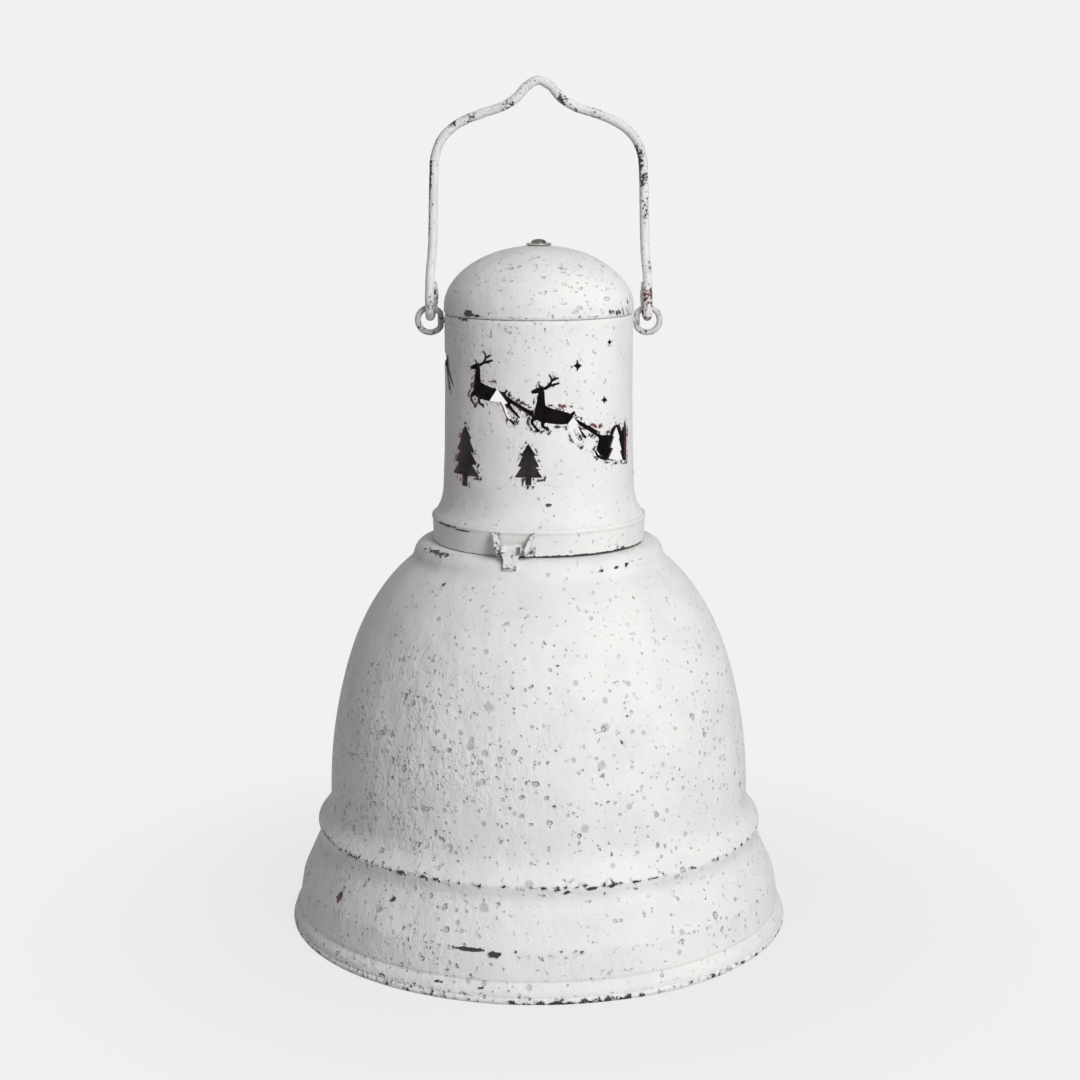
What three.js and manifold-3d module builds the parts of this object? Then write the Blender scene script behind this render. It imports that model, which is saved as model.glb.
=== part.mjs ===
// Pierced metal lantern: a spun bell shade that stands on its rolled rim, a pierced head
// that tips forward on a hinge, a wire bail, and a battery lamp in the neck.
// Millimetres, +Z up, origin at the centre of the rim's underside, front of the lantern -Y.
import * as THREE from 'three';
import { mergeVertices } from 'three/addons/utils/BufferGeometryUtils.js';
import Module from 'manifold-3d';

const wasm = await Module();
wasm.setup();

// Clearances and facets
const GAP = 0.3;
const RUNNING = 0.2;
const ROUND = 32;
const DRILL_ROUND = 10;
const LAMP_ROUND = 24;
const SMALL_ROUND = 12;

// Bell shade: radii and the height of each step, from the floor up
const SHEET = 1;
const BASE_R = 100;
const ROLL_R = 1.3;
const RIM_FLAT = 1;
const BRIM_R = 97.1;
const BRIM_HEIGHT = 7.4;
const SKIRT_R = 95.5;
const SKIRT_HEIGHT = 11.3;
const GROOVE_R = 88;
const CONE_HEIGHT = 16.9;
const RIDGE_R = 89.5;
const UNDERCUT_HEIGHT = 5.7;
const WAIST_R = 84.6;
const BEAD_HEIGHT = 7.1;
const BELL_HEIGHT = 99.2;
const BELL_SIDE_PULL = 43;
const BELL_TOP_PULL = 30;
const BELL_TOP_SLOPE = 0.67;
const SHOULDER_LEDGE = 2.6;
const SHOULDER_ROLL = 6.1;
const SHOULDER_HEIGHT = 6.9;

// Neck collar and lamp tray
const COLLAR_PLAY = 2.2;
const COLLAR_WALL = 0.8;
const COLLAR_RISE = 10.5;
const COLLAR_DROP = 6.5;
const COLLAR_LEDGE = 5.8;
const SOLDER_FLANGE = 2.7;
const TRAY_SHEET = 1;
const TRAY_RIVET_R = 1.2;
const TRAY_RIVETS = 3;

// Head: pierced tube, band, cap
const HEAD_SHEET = 0.9;
const BAND_STEP = 4.3;
const BAND_HEIGHT = 10.1;
const BAND_LIP = 0.4;
const FLARE_HEIGHT = 10.8;
const TUBE_SPREAD = 0.9;
const TUBE_R = 36.7;
const TUBE_TAPER = 24;
const TUBE_HEIGHT = 78;
const CAP_OVERHANG = 0.2;
const NECK_STEP = 0.4;
const CAP_SKIRT = 3;
const CAP_DOME = 22;

// Pierced scene: azimuths in degrees from the front, heights above the head's foot
const TEAM_AZIMUTHS = [-84, -31, 9.5];
const TEAM_HEIGHT = 75.1;
const TEAM_DROP = 0.2;
const SLEIGH_AZIMUTH = 52;
const SLEIGH_HEIGHT = 41.9;
const TREE_FOOT = 24.5;
const TREE_SHARE = 0.68;
// Azimuth, height, number of tiers and rise of each fir tree
const TREES = [
  [-49.5, 23.4, 4, 0], [-6, 15.7, 3, 2.4], [92, 15, 3, 0], [121, 18, 3, 0], [157, 19.4, 4, 0], [208, 31, 4, 0],
  [263, 20, 3, 0],
];
// The trace from a deer's rump to what it pulls: place and half width of each point
const TRACE = [[5.6, -4.2, 1], [11.4, -7.4, 0.75], [17.9, -11.4, 1.1]];
// Azimuth, height and reach of each star
const STARS = [
  [23.4, 71.7, 1.9], [42.7, 58.1, 1.6], [47, 79.7, 1.4], [92, 66, 1.7], [124, 72, 1.8], [152, 61, 1.5],
  [180, 70, 1.8], [236, 71, 1.6],
];

// Cap strap, screw, washer and nut
const STRAP_WIDTH = 10;
const STRAP_SHEET = 1;
const STRAP_DROP = 11;
const STRAP_FLAT = 9;
const SCREW_R = 1.9;
const SCREW_HEAD_R = 2.9;
const SCREW_HEAD_HEIGHT = 1.8;
const WASHER_R = 4.9;
const WASHER_HEIGHT = 0.8;
const NUT_FLAT = 7;
const NUT_HEIGHT = 3.2;

// Ring eyes and bail
const EYE_DROP = 2.4;
const EYE_RING_R = 4.8;
const EYE_WIRE_R = 1.15;
const EYE_STAND_OFF = 5.6;
const EYE_NUT_FLAT = 4.5;
const EYE_NUT_HEIGHT = 2.4;
const EYE_SHANK_END = 0.6;
const BAIL_WIRE_R = 1.75;
const BAIL_SIDES = 6;
const BAIL_STEPS = 104;
const HOOK_R = 3.4;
const HOOK_RETURN = 8.5;
const BAIL_HEIGHT = 86.4;
const BAIL_DRAW_IN = 2;

// Hinge on the front left of the neck
const HINGE_AZIMUTH = -11;
const PIN_R = 1.1;
const PIN_OUT = 4.3;
const PIN_UP = 3.4;
const EAR_SHEET = 1.5;
const EAR_SPACING = 11.8;
const EAR_TOP = 9.4;
const KNUCKLE_R = 2.3;
const LEAF_WIDTH = 5;
const LEAF_SHIFT = -1.4;
const LEAF_SHEET = 1;
const LEAF_FOOT = 2.2;
const PIN_HEAD_R = 1.6;
const PIN_HEAD = 0.6;

// Catch spring inside the back of the band
const CATCH_WIDTH = 8;
const CATCH_SHEET = 0.5;
const CATCH_HEIGHT = 6.4;
const CATCH_BULGE = 0.6;
const CATCH_RIVET_R = 1.1;
const CATCH_RIVET_HEAD_R = 2.2;
const CATCH_RIVET_HEAD = 1;

// Battery lamp
const LAMP_R = 22.5;
const LAMP_WALL = 1.5;
const LAMP_FLOOR = 1.5;
const LAMP_DROP = 10;
const LAMP_RISE = 9.7;
const LAMP_FLANGE = 5.5;
const LAMP_FLANGE_SHEET = 1.4;
const CELL_R = 10;
const CELL_HEIGHT = 3.2;
const CELL_COUNT = 2;
const WELL_GAP = 1;
const WELL_WALL = 1.5;
const DOOR_LIP = 2;
const DOOR_LIP_SHEET = 1.3;
const COIN_SLOT = 1.6;
const CONTACT_WIDTH = 6;
const CONTACT_SHEET = 0.4;
const BOARD_SHEET = 1.6;
const COVER_SHEET = 2;
const SPIGOT_WALL = 1.5;
const LENS_R = 12;
const LENS_WALL = 1.2;
const LENS_HEIGHT = 8;
const LENS_FOOT = 2;
const LENS_FOOT_SHEET = 0.9;
const DIODE_R = 2.5;
const DIODE_HEIGHT = 5;
const SWITCH_OFFSET = 17.2;
const SWITCH_TRAVEL = 4;
const SWITCH_WIDTH = 3;
const SWITCH_LENGTH = 4;
const SWITCH_PLATE_SHEET = 1;
const SWITCH_STICK_OUT = 1.6;

// Places worked out from the sizes above
const TUBE_FOOT_R = TUBE_R + TUBE_SPREAD;
const BAND_R = TUBE_FOOT_R + BAND_STEP;
const CAP_R = TUBE_R + CAP_OVERHANG;
const EYE_REACH = TUBE_R + EYE_STAND_OFF;
const BAIL_HALF_WIDTH = EYE_REACH - BAIL_DRAW_IN;
const COLLAR_R = BAND_R - HEAD_SHEET - COLLAR_PLAY;
const SHOULDER_R = BAND_R + SHOULDER_LEDGE;
const CREASE_R = SHOULDER_R + SHOULDER_ROLL;
const SKIRT_Z = BRIM_HEIGHT + SKIRT_HEIGHT;
const GROOVE_Z = SKIRT_Z + CONE_HEIGHT;
const RIDGE_Z = GROOVE_Z + UNDERCUT_HEIGHT;
const WAIST_Z = RIDGE_Z + BEAD_HEIGHT;
const CREASE_Z = WAIST_Z + BELL_HEIGHT;
const SHOULDER_Z = CREASE_Z + SHOULDER_HEIGHT;
const HEAD_Z = SHOULDER_Z + GAP;
const NECK_HOLE_R = COLLAR_R + GAP;
const COLLAR_INNER_R = COLLAR_R - COLLAR_WALL;
const LEDGE_Z = SHOULDER_Z - COLLAR_DROP;
const TRAY_Z = LEDGE_Z + COLLAR_WALL + GAP;
const LAMP_Z = TRAY_Z + TRAY_SHEET + GAP;
const PIN_REACH = BAND_R + PIN_OUT;
const TUBE_FOOT_Z = BAND_HEIGHT + GAP;
const TUBE_TOP_Z = TUBE_FOOT_Z + TUBE_HEIGHT;
const NECK_R = CAP_R - HEAD_SHEET - GAP;
const NECK_TOP_Z = TUBE_TOP_Z + NECK_STEP + CAP_SKIRT;
const EYE_Z = TUBE_TOP_Z - EYE_DROP;
const CAP_Z = TUBE_TOP_Z + NECK_STEP + GAP;
const CAP_TOP_Z = CAP_Z + CAP_SKIRT + CAP_DOME;
const BAIL_AXIS_Z = HEAD_Z + EYE_Z + EYE_RING_R;

// Finishes
const paint = finish(0xe9e7e3, 0.62, 0.0);
const wornPaint = finish(0xd6d2cc, 0.6, 0.1);
const darkSteel = finish(0x4a4540, 0.45, 0.85);
const steel = finish(0xa9a9a8, 0.35, 0.95);
const blackPlastic = finish(0x2c2c2e, 0.55, 0.0);
const frosted = finish(0xf4efe2, 0.35, 0.0);
const boardGreen = finish(0x1f5c3a, 0.5, 0.0);

function finish(color, roughness, metalness) {
  return new THREE.MeshStandardMaterial({ color, roughness, metalness });
}

// Solids
function signedVolume(positions, triangles) {
  let sum = 0;
  const corners = [new THREE.Vector3(), new THREE.Vector3(), new THREE.Vector3()];
  for (let i = 0; i < triangles.length; i += 3) {
    corners.forEach((corner, k) => corner.fromArray(positions, 3 * triangles[i + k]));
    sum += corners[0].dot(corners[1].cross(corners[2]));
  }
  return sum;
}

function toSolid(geometry) {
  const bare = geometry.index ? geometry.toNonIndexed() : geometry.clone();
  bare.deleteAttribute('normal');
  bare.deleteAttribute('uv');
  const merged = mergeVertices(bare, 1e-4);
  const positions = new Float32Array(merged.attributes.position.array);
  const triangles = [];
  const index = merged.index.array;
  for (let i = 0; i < index.length; i += 3) {
    const [a, b, c] = [index[i], index[i + 1], index[i + 2]];
    if (a !== b && b !== c && c !== a) triangles.push(a, b, c);
  }
  if (signedVolume(positions, triangles) < 0) triangles.reverse();
  const mesh = { numProp: 3, vertProperties: positions, triVerts: new Uint32Array(triangles) };
  return new wasm.Manifold(new wasm.Mesh(mesh));
}

function toGeometry(solid) {
  const result = solid.getMesh();
  const geometry = new THREE.BufferGeometry();
  const positions = new Float32Array((result.vertProperties.length / result.numProp) * 3);
  for (let i = 0; i < positions.length / 3; i += 1) {
    for (let k = 0; k < 3; k += 1) positions[3 * i + k] = result.vertProperties[i * result.numProp + k];
  }
  geometry.setAttribute('position', new THREE.BufferAttribute(positions, 3));
  geometry.setIndex(Array.from(result.triVerts));
  return geometry;
}

function join(solids) {
  return solids.reduce((sum, solid) => sum.add(solid));
}

// A profile of [radius, height] points, turned round +Z
function revolve(profile, segments = ROUND) {
  const points = profile.map(([r, z]) => new THREE.Vector2(r, z));
  const onAxis = profile[0][0] === 0 && profile[profile.length - 1][0] === 0;
  if (!onAxis) points.push(points[0].clone());
  const geometry = new THREE.LatheGeometry(points, segments);
  geometry.rotateX(Math.PI / 2);
  return toSolid(geometry);
}

function disc(radius, bottom, top, segments = ROUND) {
  return revolve([[0, bottom], [radius, bottom], [radius, top], [0, top]], segments);
}

function ring(inner, outer, bottom, top, segments = ROUND) {
  return revolve([[inner, bottom], [outer, bottom], [outer, top], [inner, top]], segments);
}

function block(x0, x1, y0, y1, z0, z1) {
  const geometry = new THREE.BoxGeometry(x1 - x0, y1 - y0, z1 - z0);
  geometry.translate((x0 + x1) / 2, (y0 + y1) / 2, (z0 + z1) / 2);
  return toSolid(geometry);
}

// A round bar from one point to another
function bar(from, to, radius, sides = SMALL_ROUND) {
  const start = new THREE.Vector3(...from);
  const along = new THREE.Vector3(...to).sub(start);
  const geometry = new THREE.CylinderGeometry(radius, radius, along.length(), sides);
  geometry.translate(0, along.length() / 2, 0);
  const turn = new THREE.Quaternion();
  turn.setFromUnitVectors(new THREE.Vector3(0, 1, 0), along.clone().normalize());
  geometry.applyQuaternion(turn);
  geometry.translate(start.x, start.y, start.z);
  return toSolid(geometry);
}

function hexNut(flat, bore, bottom, top) {
  const body = disc(flat / Math.sqrt(3), bottom, top, 6);
  return body.subtract(disc(bore, bottom - 1, top + 1, SMALL_ROUND));
}

// Inner line of a sheet whose outer line is given, one sheet thickness inwards
function offsetLine(points, thickness) {
  return points.map((point, i) => {
    const before = points[Math.max(i - 1, 0)];
    const after = points[Math.min(i + 1, points.length - 1)];
    const dr = after[0] - before[0];
    const dz = after[1] - before[1];
    const length = Math.hypot(dr, dz);
    return [point[0] - (dz / length) * thickness, point[1] + (dr / length) * thickness];
  });
}

// A sheet from its outer line, given from the bottom up
function sheet(outer, thickness, segments = ROUND) {
  return revolve([...outer, ...offsetLine(outer, thickness).reverse()], segments);
}

function bezier(points, count) {
  const vectors = points.map(([x, y]) => new THREE.Vector2(x, y));
  const curve = points.length === 3
    ? new THREE.QuadraticBezierCurve(...vectors)
    : new THREE.CubicBezierCurve(...vectors);
  return curve.getPoints(count).map((point) => [point.x, point.y]);
}

function arc(centre, radii, fromDegrees, toDegrees, count) {
  return Array.from({ length: count + 1 }, (_, i) => {
    const angle = THREE.MathUtils.degToRad(fromDegrees + ((toDegrees - fromDegrees) * i) / count);
    return [centre[0] + radii[0] * Math.cos(angle), centre[1] + radii[1] * Math.sin(angle)];
  });
}

// Directions at an azimuth counted from the front (-Y) towards +X
function frameAt(azimuth) {
  const angle = THREE.MathUtils.degToRad(azimuth);
  return {
    out: new THREE.Vector3(Math.sin(angle), -Math.cos(angle), 0),
    across: new THREE.Vector3(Math.cos(angle), Math.sin(angle), 0),
    up: new THREE.Vector3(0, 0, 1),
  };
}

// A flat shape drawn across the head, pushed outwards from a radius
function pushOut(shape, azimuth, radius, height, depth, curveSegments = 3) {
  const geometry = new THREE.ExtrudeGeometry(shape, { depth, bevelEnabled: false, curveSegments });
  const { out, across, up } = frameAt(azimuth);
  const place = new THREE.Matrix4().makeBasis(across, up, out);
  place.setPosition(out.clone().multiplyScalar(radius).addScaledVector(up, height));
  geometry.applyMatrix4(place);
  return toSolid(geometry);
}

// A section drawn in radius and height, given a width across the radius
function pushAcross(shape, azimuth, middle, width, curveSegments = 4) {
  const options = { depth: width, bevelEnabled: false, curveSegments };
  const geometry = new THREE.ExtrudeGeometry(shape, options);
  const { out, across, up } = frameAt(azimuth);
  const place = new THREE.Matrix4().makeBasis(out, up, across.clone().negate());
  place.setPosition(across.clone().multiplyScalar(middle + width / 2));
  geometry.applyMatrix4(place);
  return toSolid(geometry);
}

function outline(points) {
  const vectors = points.map(([x, y]) => new THREE.Vector2(x, y));
  if (THREE.ShapeUtils.isClockWise(vectors)) vectors.reverse();
  return new THREE.Shape(vectors);
}

// Bell shade
function shoulderZ(radius, lift = 0) {
  const run = (radius - SHOULDER_R) / (CREASE_R + lift - SHOULDER_R);
  const rise = SHOULDER_HEIGHT + lift;
  return CREASE_Z + rise * Math.sqrt(Math.max(0, 1 - Math.max(run, 0) ** 2));
}

function shadeOuter(bellSteps, shoulderSteps) {
  const steps = [[BRIM_R, BRIM_HEIGHT], [SKIRT_R, SKIRT_Z], [GROOVE_R, GROOVE_Z], [RIDGE_R, RIDGE_Z]];
  const topRun = BELL_TOP_PULL * Math.sin(Math.atan2(1, BELL_TOP_SLOPE));
  const bell = bezier([
    [WAIST_R, WAIST_Z],
    [WAIST_R, WAIST_Z + BELL_SIDE_PULL],
    [CREASE_R + topRun, CREASE_Z - topRun * BELL_TOP_SLOPE],
    [CREASE_R, CREASE_Z],
  ], bellSteps);
  const shoulder = arc([SHOULDER_R, CREASE_Z], [CREASE_R - SHOULDER_R, SHOULDER_HEIGHT], 12, 90, shoulderSteps);
  return [...steps, ...bell, ...shoulder, [NECK_HOLE_R, SHOULDER_Z]];
}

function bellShade() {
  const outer = shadeOuter(9, 3);
  const inner = offsetLine(shadeOuter(5, 2), SHEET).reverse();
  const rollZ = Math.sqrt(ROLL_R ** 2 - (RIM_FLAT / 2) ** 2);
  const rollCentre = [BASE_R - ROLL_R, rollZ];
  const flatAngle = THREE.MathUtils.radToDeg(Math.asin(rollZ / ROLL_R));
  const roll = [
    ...arc(rollCentre, [ROLL_R, ROLL_R], -180 + flatAngle - 80, -180 + flatAngle, 2),
    ...arc(rollCentre, [ROLL_R, ROLL_R], -flatAngle, 0, 2),
    ...arc(rollCentre, [ROLL_R, ROLL_R], 0, 60, 2).slice(1),
  ];
  const brim = [
    [BASE_R - ROLL_R / 2, BRIM_HEIGHT * 0.42],
    [(BASE_R + BRIM_R) / 2, BRIM_HEIGHT * 0.68],
  ];
  const brimInner = brim.map(([r, z]) => [r - SHEET * 1.2, z + SHEET * 0.2]).reverse();
  return revolve([...roll, ...brim, ...outer, ...inner, ...brimInner]);
}

// Neck collar: upstand, solder flange and inner ledge in one turned piece
function neckCollar() {
  const top = SHOULDER_Z + COLLAR_RISE;
  const flangeTop = SHOULDER_Z - SHEET - GAP;
  return revolve([
    [COLLAR_INNER_R - COLLAR_LEDGE, LEDGE_Z],
    [COLLAR_R, LEDGE_Z],
    [COLLAR_R, flangeTop - COLLAR_WALL],
    [COLLAR_R + SOLDER_FLANGE, flangeTop - COLLAR_WALL],
    [COLLAR_R + SOLDER_FLANGE, flangeTop],
    [COLLAR_R, flangeTop],
    [COLLAR_R, top],
    [COLLAR_INNER_R, top],
    [COLLAR_INNER_R, LEDGE_Z + COLLAR_WALL],
    [COLLAR_INNER_R - COLLAR_LEDGE, LEDGE_Z + COLLAR_WALL],
  ]);
}

function rivetPlaces() {
  const radius = COLLAR_INNER_R - COLLAR_LEDGE / 2;
  return Array.from({ length: TRAY_RIVETS }, (_, i) => {
    const angle = (2 * Math.PI * (i + 0.5)) / TRAY_RIVETS;
    return [radius * Math.cos(angle), radius * Math.sin(angle)];
  });
}

function drillForRivets(solid) {
  return rivetPlaces().reduce((left, [x, y]) => left.subtract(
    bar([x, y, LEDGE_Z - 2], [x, y, TRAY_Z + TRAY_SHEET + 2], TRAY_RIVET_R + GAP, DRILL_ROUND),
  ), solid);
}

function lampTray() {
  return ring(LAMP_R + GAP, COLLAR_INNER_R - GAP, TRAY_Z, TRAY_Z + TRAY_SHEET, LAMP_ROUND);
}

function trayRivet() {
  const bottom = LEDGE_Z - TRAY_Z - GAP;
  const top = TRAY_SHEET + GAP;
  const head = TRAY_RIVET_R * 1.8;
  return revolve([
    [0, bottom - 0.8], [head * 0.8, bottom - 0.8], [head, bottom], [TRAY_RIVET_R, bottom],
    [TRAY_RIVET_R, top], [head, top], [head * 0.7, top + 0.9], [0, top + 0.9],
  ], DRILL_ROUND);
}

// Head tube: flared foot, slight taper, necked top, pierced scene
function tubeOuter() {
  const footR = BAND_R - GAP;
  const flareTop = TUBE_FOOT_Z + FLARE_HEIGHT;
  return [
    ...bezier([
      [footR, TUBE_FOOT_Z],
      [TUBE_FOOT_R + 0.4, TUBE_FOOT_Z + FLARE_HEIGHT / 3],
      [TUBE_FOOT_R, flareTop],
    ], 4),
    [(TUBE_FOOT_R + TUBE_R) / 2 - 0.1, flareTop + TUBE_TAPER * 0.6],
    [TUBE_R, flareTop + TUBE_TAPER * 1.5],
    [TUBE_R, TUBE_TOP_Z],
    [NECK_R, TUBE_TOP_Z + NECK_STEP],
    [NECK_R, NECK_TOP_Z],
  ];
}

// A tapered stroke through points, each with its own half width
function stroke(points) {
  const left = [];
  const right = [];
  points.forEach(([x, y, half], i) => {
    const before = points[Math.max(i - 1, 0)];
    const after = points[Math.min(i + 1, points.length - 1)];
    const length = Math.hypot(after[0] - before[0], after[1] - before[1]);
    const nx = -(after[1] - before[1]) / length;
    const ny = (after[0] - before[0]) / length;
    left.push([x + nx * half, y + ny * half]);
    right.unshift([x - nx * half, y - ny * half]);
  });
  return outline([...left, ...right]);
}

function roundedBlob(points, count) {
  const curve = new THREE.SplineCurve([...points, points[0]].map(([x, y]) => new THREE.Vector2(x, y)));
  return new THREE.Shape(curve.getPoints(count).slice(0, -1));
}

// A galloping deer that faces left, drawn round the middle of its back
function deerShapes() {
  const body = roundedBlob([
    [-7.4, -0.4], [-5.2, 1], [-1, -0.5], [3.6, -1.8], [6.6, -3.5], [7, -5.8], [3.6, -6.6], [-2.4, -6], [-6.6, -4.8],
  ], 13);
  return [
    body,
    stroke([[-5.4, -1.6, 2.2], [-5.2, 2.4, 1.5], [-5, 6, 1.15]]),
    stroke([[-4.2, 6.6, 1.2], [-6.6, 6.2, 0.95], [-8.7, 5.6, 0.55]]),
    stroke([[-5.2, 6.8, 0.5], [-6.2, 9, 0.25]]),
    stroke([[-4.6, 6.6, 0.55], [-2, 8, 0.5], [1.8, 9, 0.4]]),
    stroke([[-2.6, 7.6, 0.45], [-1.2, 10, 0.42], [-2.2, 12.4, 0.3]]),
    stroke([[-1.4, 9.8, 0.42], [1.4, 11, 0.3]]),
    stroke([[-6.4, -3.4, 1.2], [-8.6, -5.4, 0.6], [-6, -9.2, 0.45]]),
    stroke([[-4, -4.6, 1.1], [-4.6, -7, 0.6], [-2.2, -8.4, 0.45]]),
    stroke([[5.6, -4.8, 1.7], [6.8, -8.4, 0.9], [7.6, -11.4, 0.6], [10.4, -14.6, 0.4]]),
    stroke([[6, -4.4, 1.6], [8.6, -8.2, 0.85], [12.4, -12.2, 0.4]]),
    stroke([[6.2, -3.6, 0.7], [7.8, -2, 0.3]]),
  ];
}

function sleighShapes() {
  const body = roundedBlob([
    [-10.2, 4.4], [-8.8, 1.4], [-9.8, -2.2], [-7.8, -5], [-2, -6.2], [5, -7.2], [8.6, -7.6], [9.2, -3],
    [9.2, 3.4], [7.8, 7], [6.2, 4], [2.4, 2.2], [-4, 2.6], [-7.4, 2.8],
  ], 17);
  const sack = roundedBlob([[-2.6, 1.6], [-2.2, 4.4], [0.6, 6], [3.8, 5], [4.8, 1.8]], 8);
  const runner = stroke([[-10.6, -2.9, 0.35], [-9, -5.2, 0.5], [-2, -6.7, 0.7], [8.8, -8.2, 0.5]]);
  return [body, sack, runner];
}

// A fir tree of stacked tiers with its foot at height 0
function treeShapes(width, height, tiers) {
  const trunk = height * 0.18;
  const side = [[width * 0.11, 0], [width * 0.11, trunk]];
  for (let i = 0; i < tiers; i += 1) {
    const low = trunk + ((height - trunk) * i) / tiers;
    const spread = (width / 2) * (1 - (i * 0.72) / tiers);
    side.push([spread, low]);
    if (i < tiers - 1) side.push([spread * 0.52, low + ((height - trunk) * 0.92) / tiers]);
  }
  const mirrored = side.map(([x, y]) => [-x, y]).reverse();
  return [outline([...side, [0, height], ...mirrored])];
}

function starShapes(size) {
  const points = Array.from({ length: 8 }, (_, i) => {
    const reach = i % 2 === 0 ? size : size * 0.48;
    return [reach * Math.sin((i * Math.PI) / 4), reach * Math.cos((i * Math.PI) / 4)];
  });
  return [outline(points)];
}

// The scene round the tube
function piercings() {
  const scene = TEAM_AZIMUTHS.map((azimuth, i) => ({
    shapes: i === 0 ? deerShapes() : [...deerShapes(), stroke(TRACE)],
    azimuth,
    height: TEAM_HEIGHT - TEAM_DROP * (azimuth - TEAM_AZIMUTHS[0]),
  }));
  scene.push({ shapes: sleighShapes(), azimuth: SLEIGH_AZIMUTH, height: SLEIGH_HEIGHT });
  TREES.forEach(([azimuth, height, tiers, rise]) => {
    scene.push({ shapes: treeShapes(height * TREE_SHARE, height, tiers), azimuth, height: TREE_FOOT + rise });
  });
  STARS.forEach(([azimuth, height, reach]) => {
    scene.push({ shapes: starShapes(reach), azimuth, height });
  });
  return scene;
}

function cutThrough({ shapes, azimuth, height }) {
  const start = TUBE_R - 5;
  return join(shapes.map((shape) => pushOut(shape, azimuth, start, height, 10)));
}

function headTube() {
  const eyeHole = TUBE_R + 4;
  const eyes = bar([-eyeHole, 0, EYE_Z], [eyeHole, 0, EYE_Z], EYE_WIRE_R + GAP, 12);
  const cutters = piercings().map(cutThrough);
  return cutters.reduce((left, cutter) => left.subtract(cutter), sheet(tubeOuter(), HEAD_SHEET)).subtract(eyes);
}

function headBand() {
  const lipZ = BAND_HEIGHT - 1.6;
  const catchZ = BAND_HEIGHT * 0.62;
  const { out } = frameAt(HINGE_AZIMUTH + 180);
  const drillFrom = out.clone().multiplyScalar(BAND_R - 4).setZ(catchZ);
  const drillTo = out.clone().multiplyScalar(BAND_R + 4).setZ(catchZ);
  const band = sheet([
    [BAND_R, 0], [BAND_R, lipZ], [BAND_R + BAND_LIP, lipZ + 0.6], [BAND_R + BAND_LIP, BAND_HEIGHT - 0.4],
    [BAND_R, BAND_HEIGHT],
  ], HEAD_SHEET);
  return band.subtract(bar(drillFrom.toArray(), drillTo.toArray(), CATCH_RIVET_R + GAP, 12));
}

function capLine(inset, steps) {
  return arc([0, CAP_Z + CAP_SKIRT], [CAP_R - inset, CAP_DOME - inset], 0, 86, steps);
}

function domeCap() {
  const hole = SCREW_R + GAP;
  const outer = [[CAP_R, CAP_Z], ...capLine(0, 7), [hole, CAP_TOP_Z]];
  const inner = [[CAP_R - HEAD_SHEET, CAP_Z], ...capLine(HEAD_SHEET, 4), [hole, CAP_TOP_Z - HEAD_SHEET]];
  return revolve([...outer, ...inner.reverse()]);
}

// Strap inside the tube's neck that the top screw pulls the cap down on
function strapTop() {
  return CAP_TOP_Z - STRAP_DROP;
}

function capStrap() {
  const innerR = NECK_R - HEAD_SHEET;
  const legY = Math.sqrt(innerR ** 2 - (STRAP_WIDTH / 2) ** 2) - GAP;
  const top = strapTop();
  const legTop = NECK_TOP_Z;
  const legBottom = TUBE_TOP_Z - 3;
  const t = STRAP_SHEET;
  const half = [[legY, legBottom], [legY, legTop], [STRAP_FLAT, top]];
  const innerHalf = [[legY - t, legBottom], [legY - t, legTop - t * 0.6], [STRAP_FLAT - t * 0.4, top - t]];
  const mirror = (line) => line.map(([x, y]) => [-x, y]).reverse();
  const shape = outline([...half, ...mirror(half), ...mirror(innerHalf).reverse(), ...innerHalf.reverse()]);
  const strap = pushAcross(shape, 0, 0, STRAP_WIDTH);
  return strap.subtract(disc(SCREW_R + GAP, top - 3, top + 3, SMALL_ROUND));
}

function washerZ() {
  return CAP_TOP_Z + GAP;
}

function topScrew() {
  const seat = washerZ() + WASHER_HEIGHT + GAP;
  const end = strapTop() - STRAP_SHEET - NUT_HEIGHT - 2;
  return revolve([
    [0, end], [SCREW_R, end], [SCREW_R, seat], [SCREW_HEAD_R, seat],
    [SCREW_HEAD_R, seat + SCREW_HEAD_HEIGHT * 0.4],
    [SCREW_HEAD_R * 0.7, seat + SCREW_HEAD_HEIGHT * 0.85],
    [0, seat + SCREW_HEAD_HEIGHT],
  ], SMALL_ROUND);
}

function topNut() {
  const top = strapTop() - STRAP_SHEET - GAP;
  return hexNut(NUT_FLAT, SCREW_R + GAP, top - NUT_HEIGHT, top);
}

// Ring eye on the +X side: bent ring, flush with the tube, and its shank through the wall
function eyeRing() {
  const hoop = new THREE.TorusGeometry(EYE_RING_R, EYE_WIRE_R, 8, 22);
  hoop.rotateX(Math.PI / 2);
  hoop.translate(EYE_REACH, 0, EYE_Z);
  const flush = disc(TUBE_R + GAP, EYE_Z - 12, EYE_Z + 12);
  const shankEnd = eyeNutFace() - EYE_NUT_HEIGHT - EYE_SHANK_END;
  const shank = bar([shankEnd, 0, EYE_Z], [EYE_REACH - EYE_RING_R, 0, EYE_Z], EYE_WIRE_R, 12);
  return toSolid(hoop).subtract(flush).add(shank);
}

function eyeNutFace() {
  const corner = EYE_NUT_FLAT / Math.sqrt(3);
  return Math.sqrt((TUBE_R - HEAD_SHEET) ** 2 - corner ** 2) - GAP;
}

function eyeNut() {
  const face = eyeNutFace();
  const nut = toGeometry(hexNut(EYE_NUT_FLAT, EYE_WIRE_R + GAP, -EYE_NUT_HEIGHT, 0));
  nut.rotateY(Math.PI / 2);
  nut.translate(face, 0, EYE_Z);
  return toSolid(nut);
}

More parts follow.
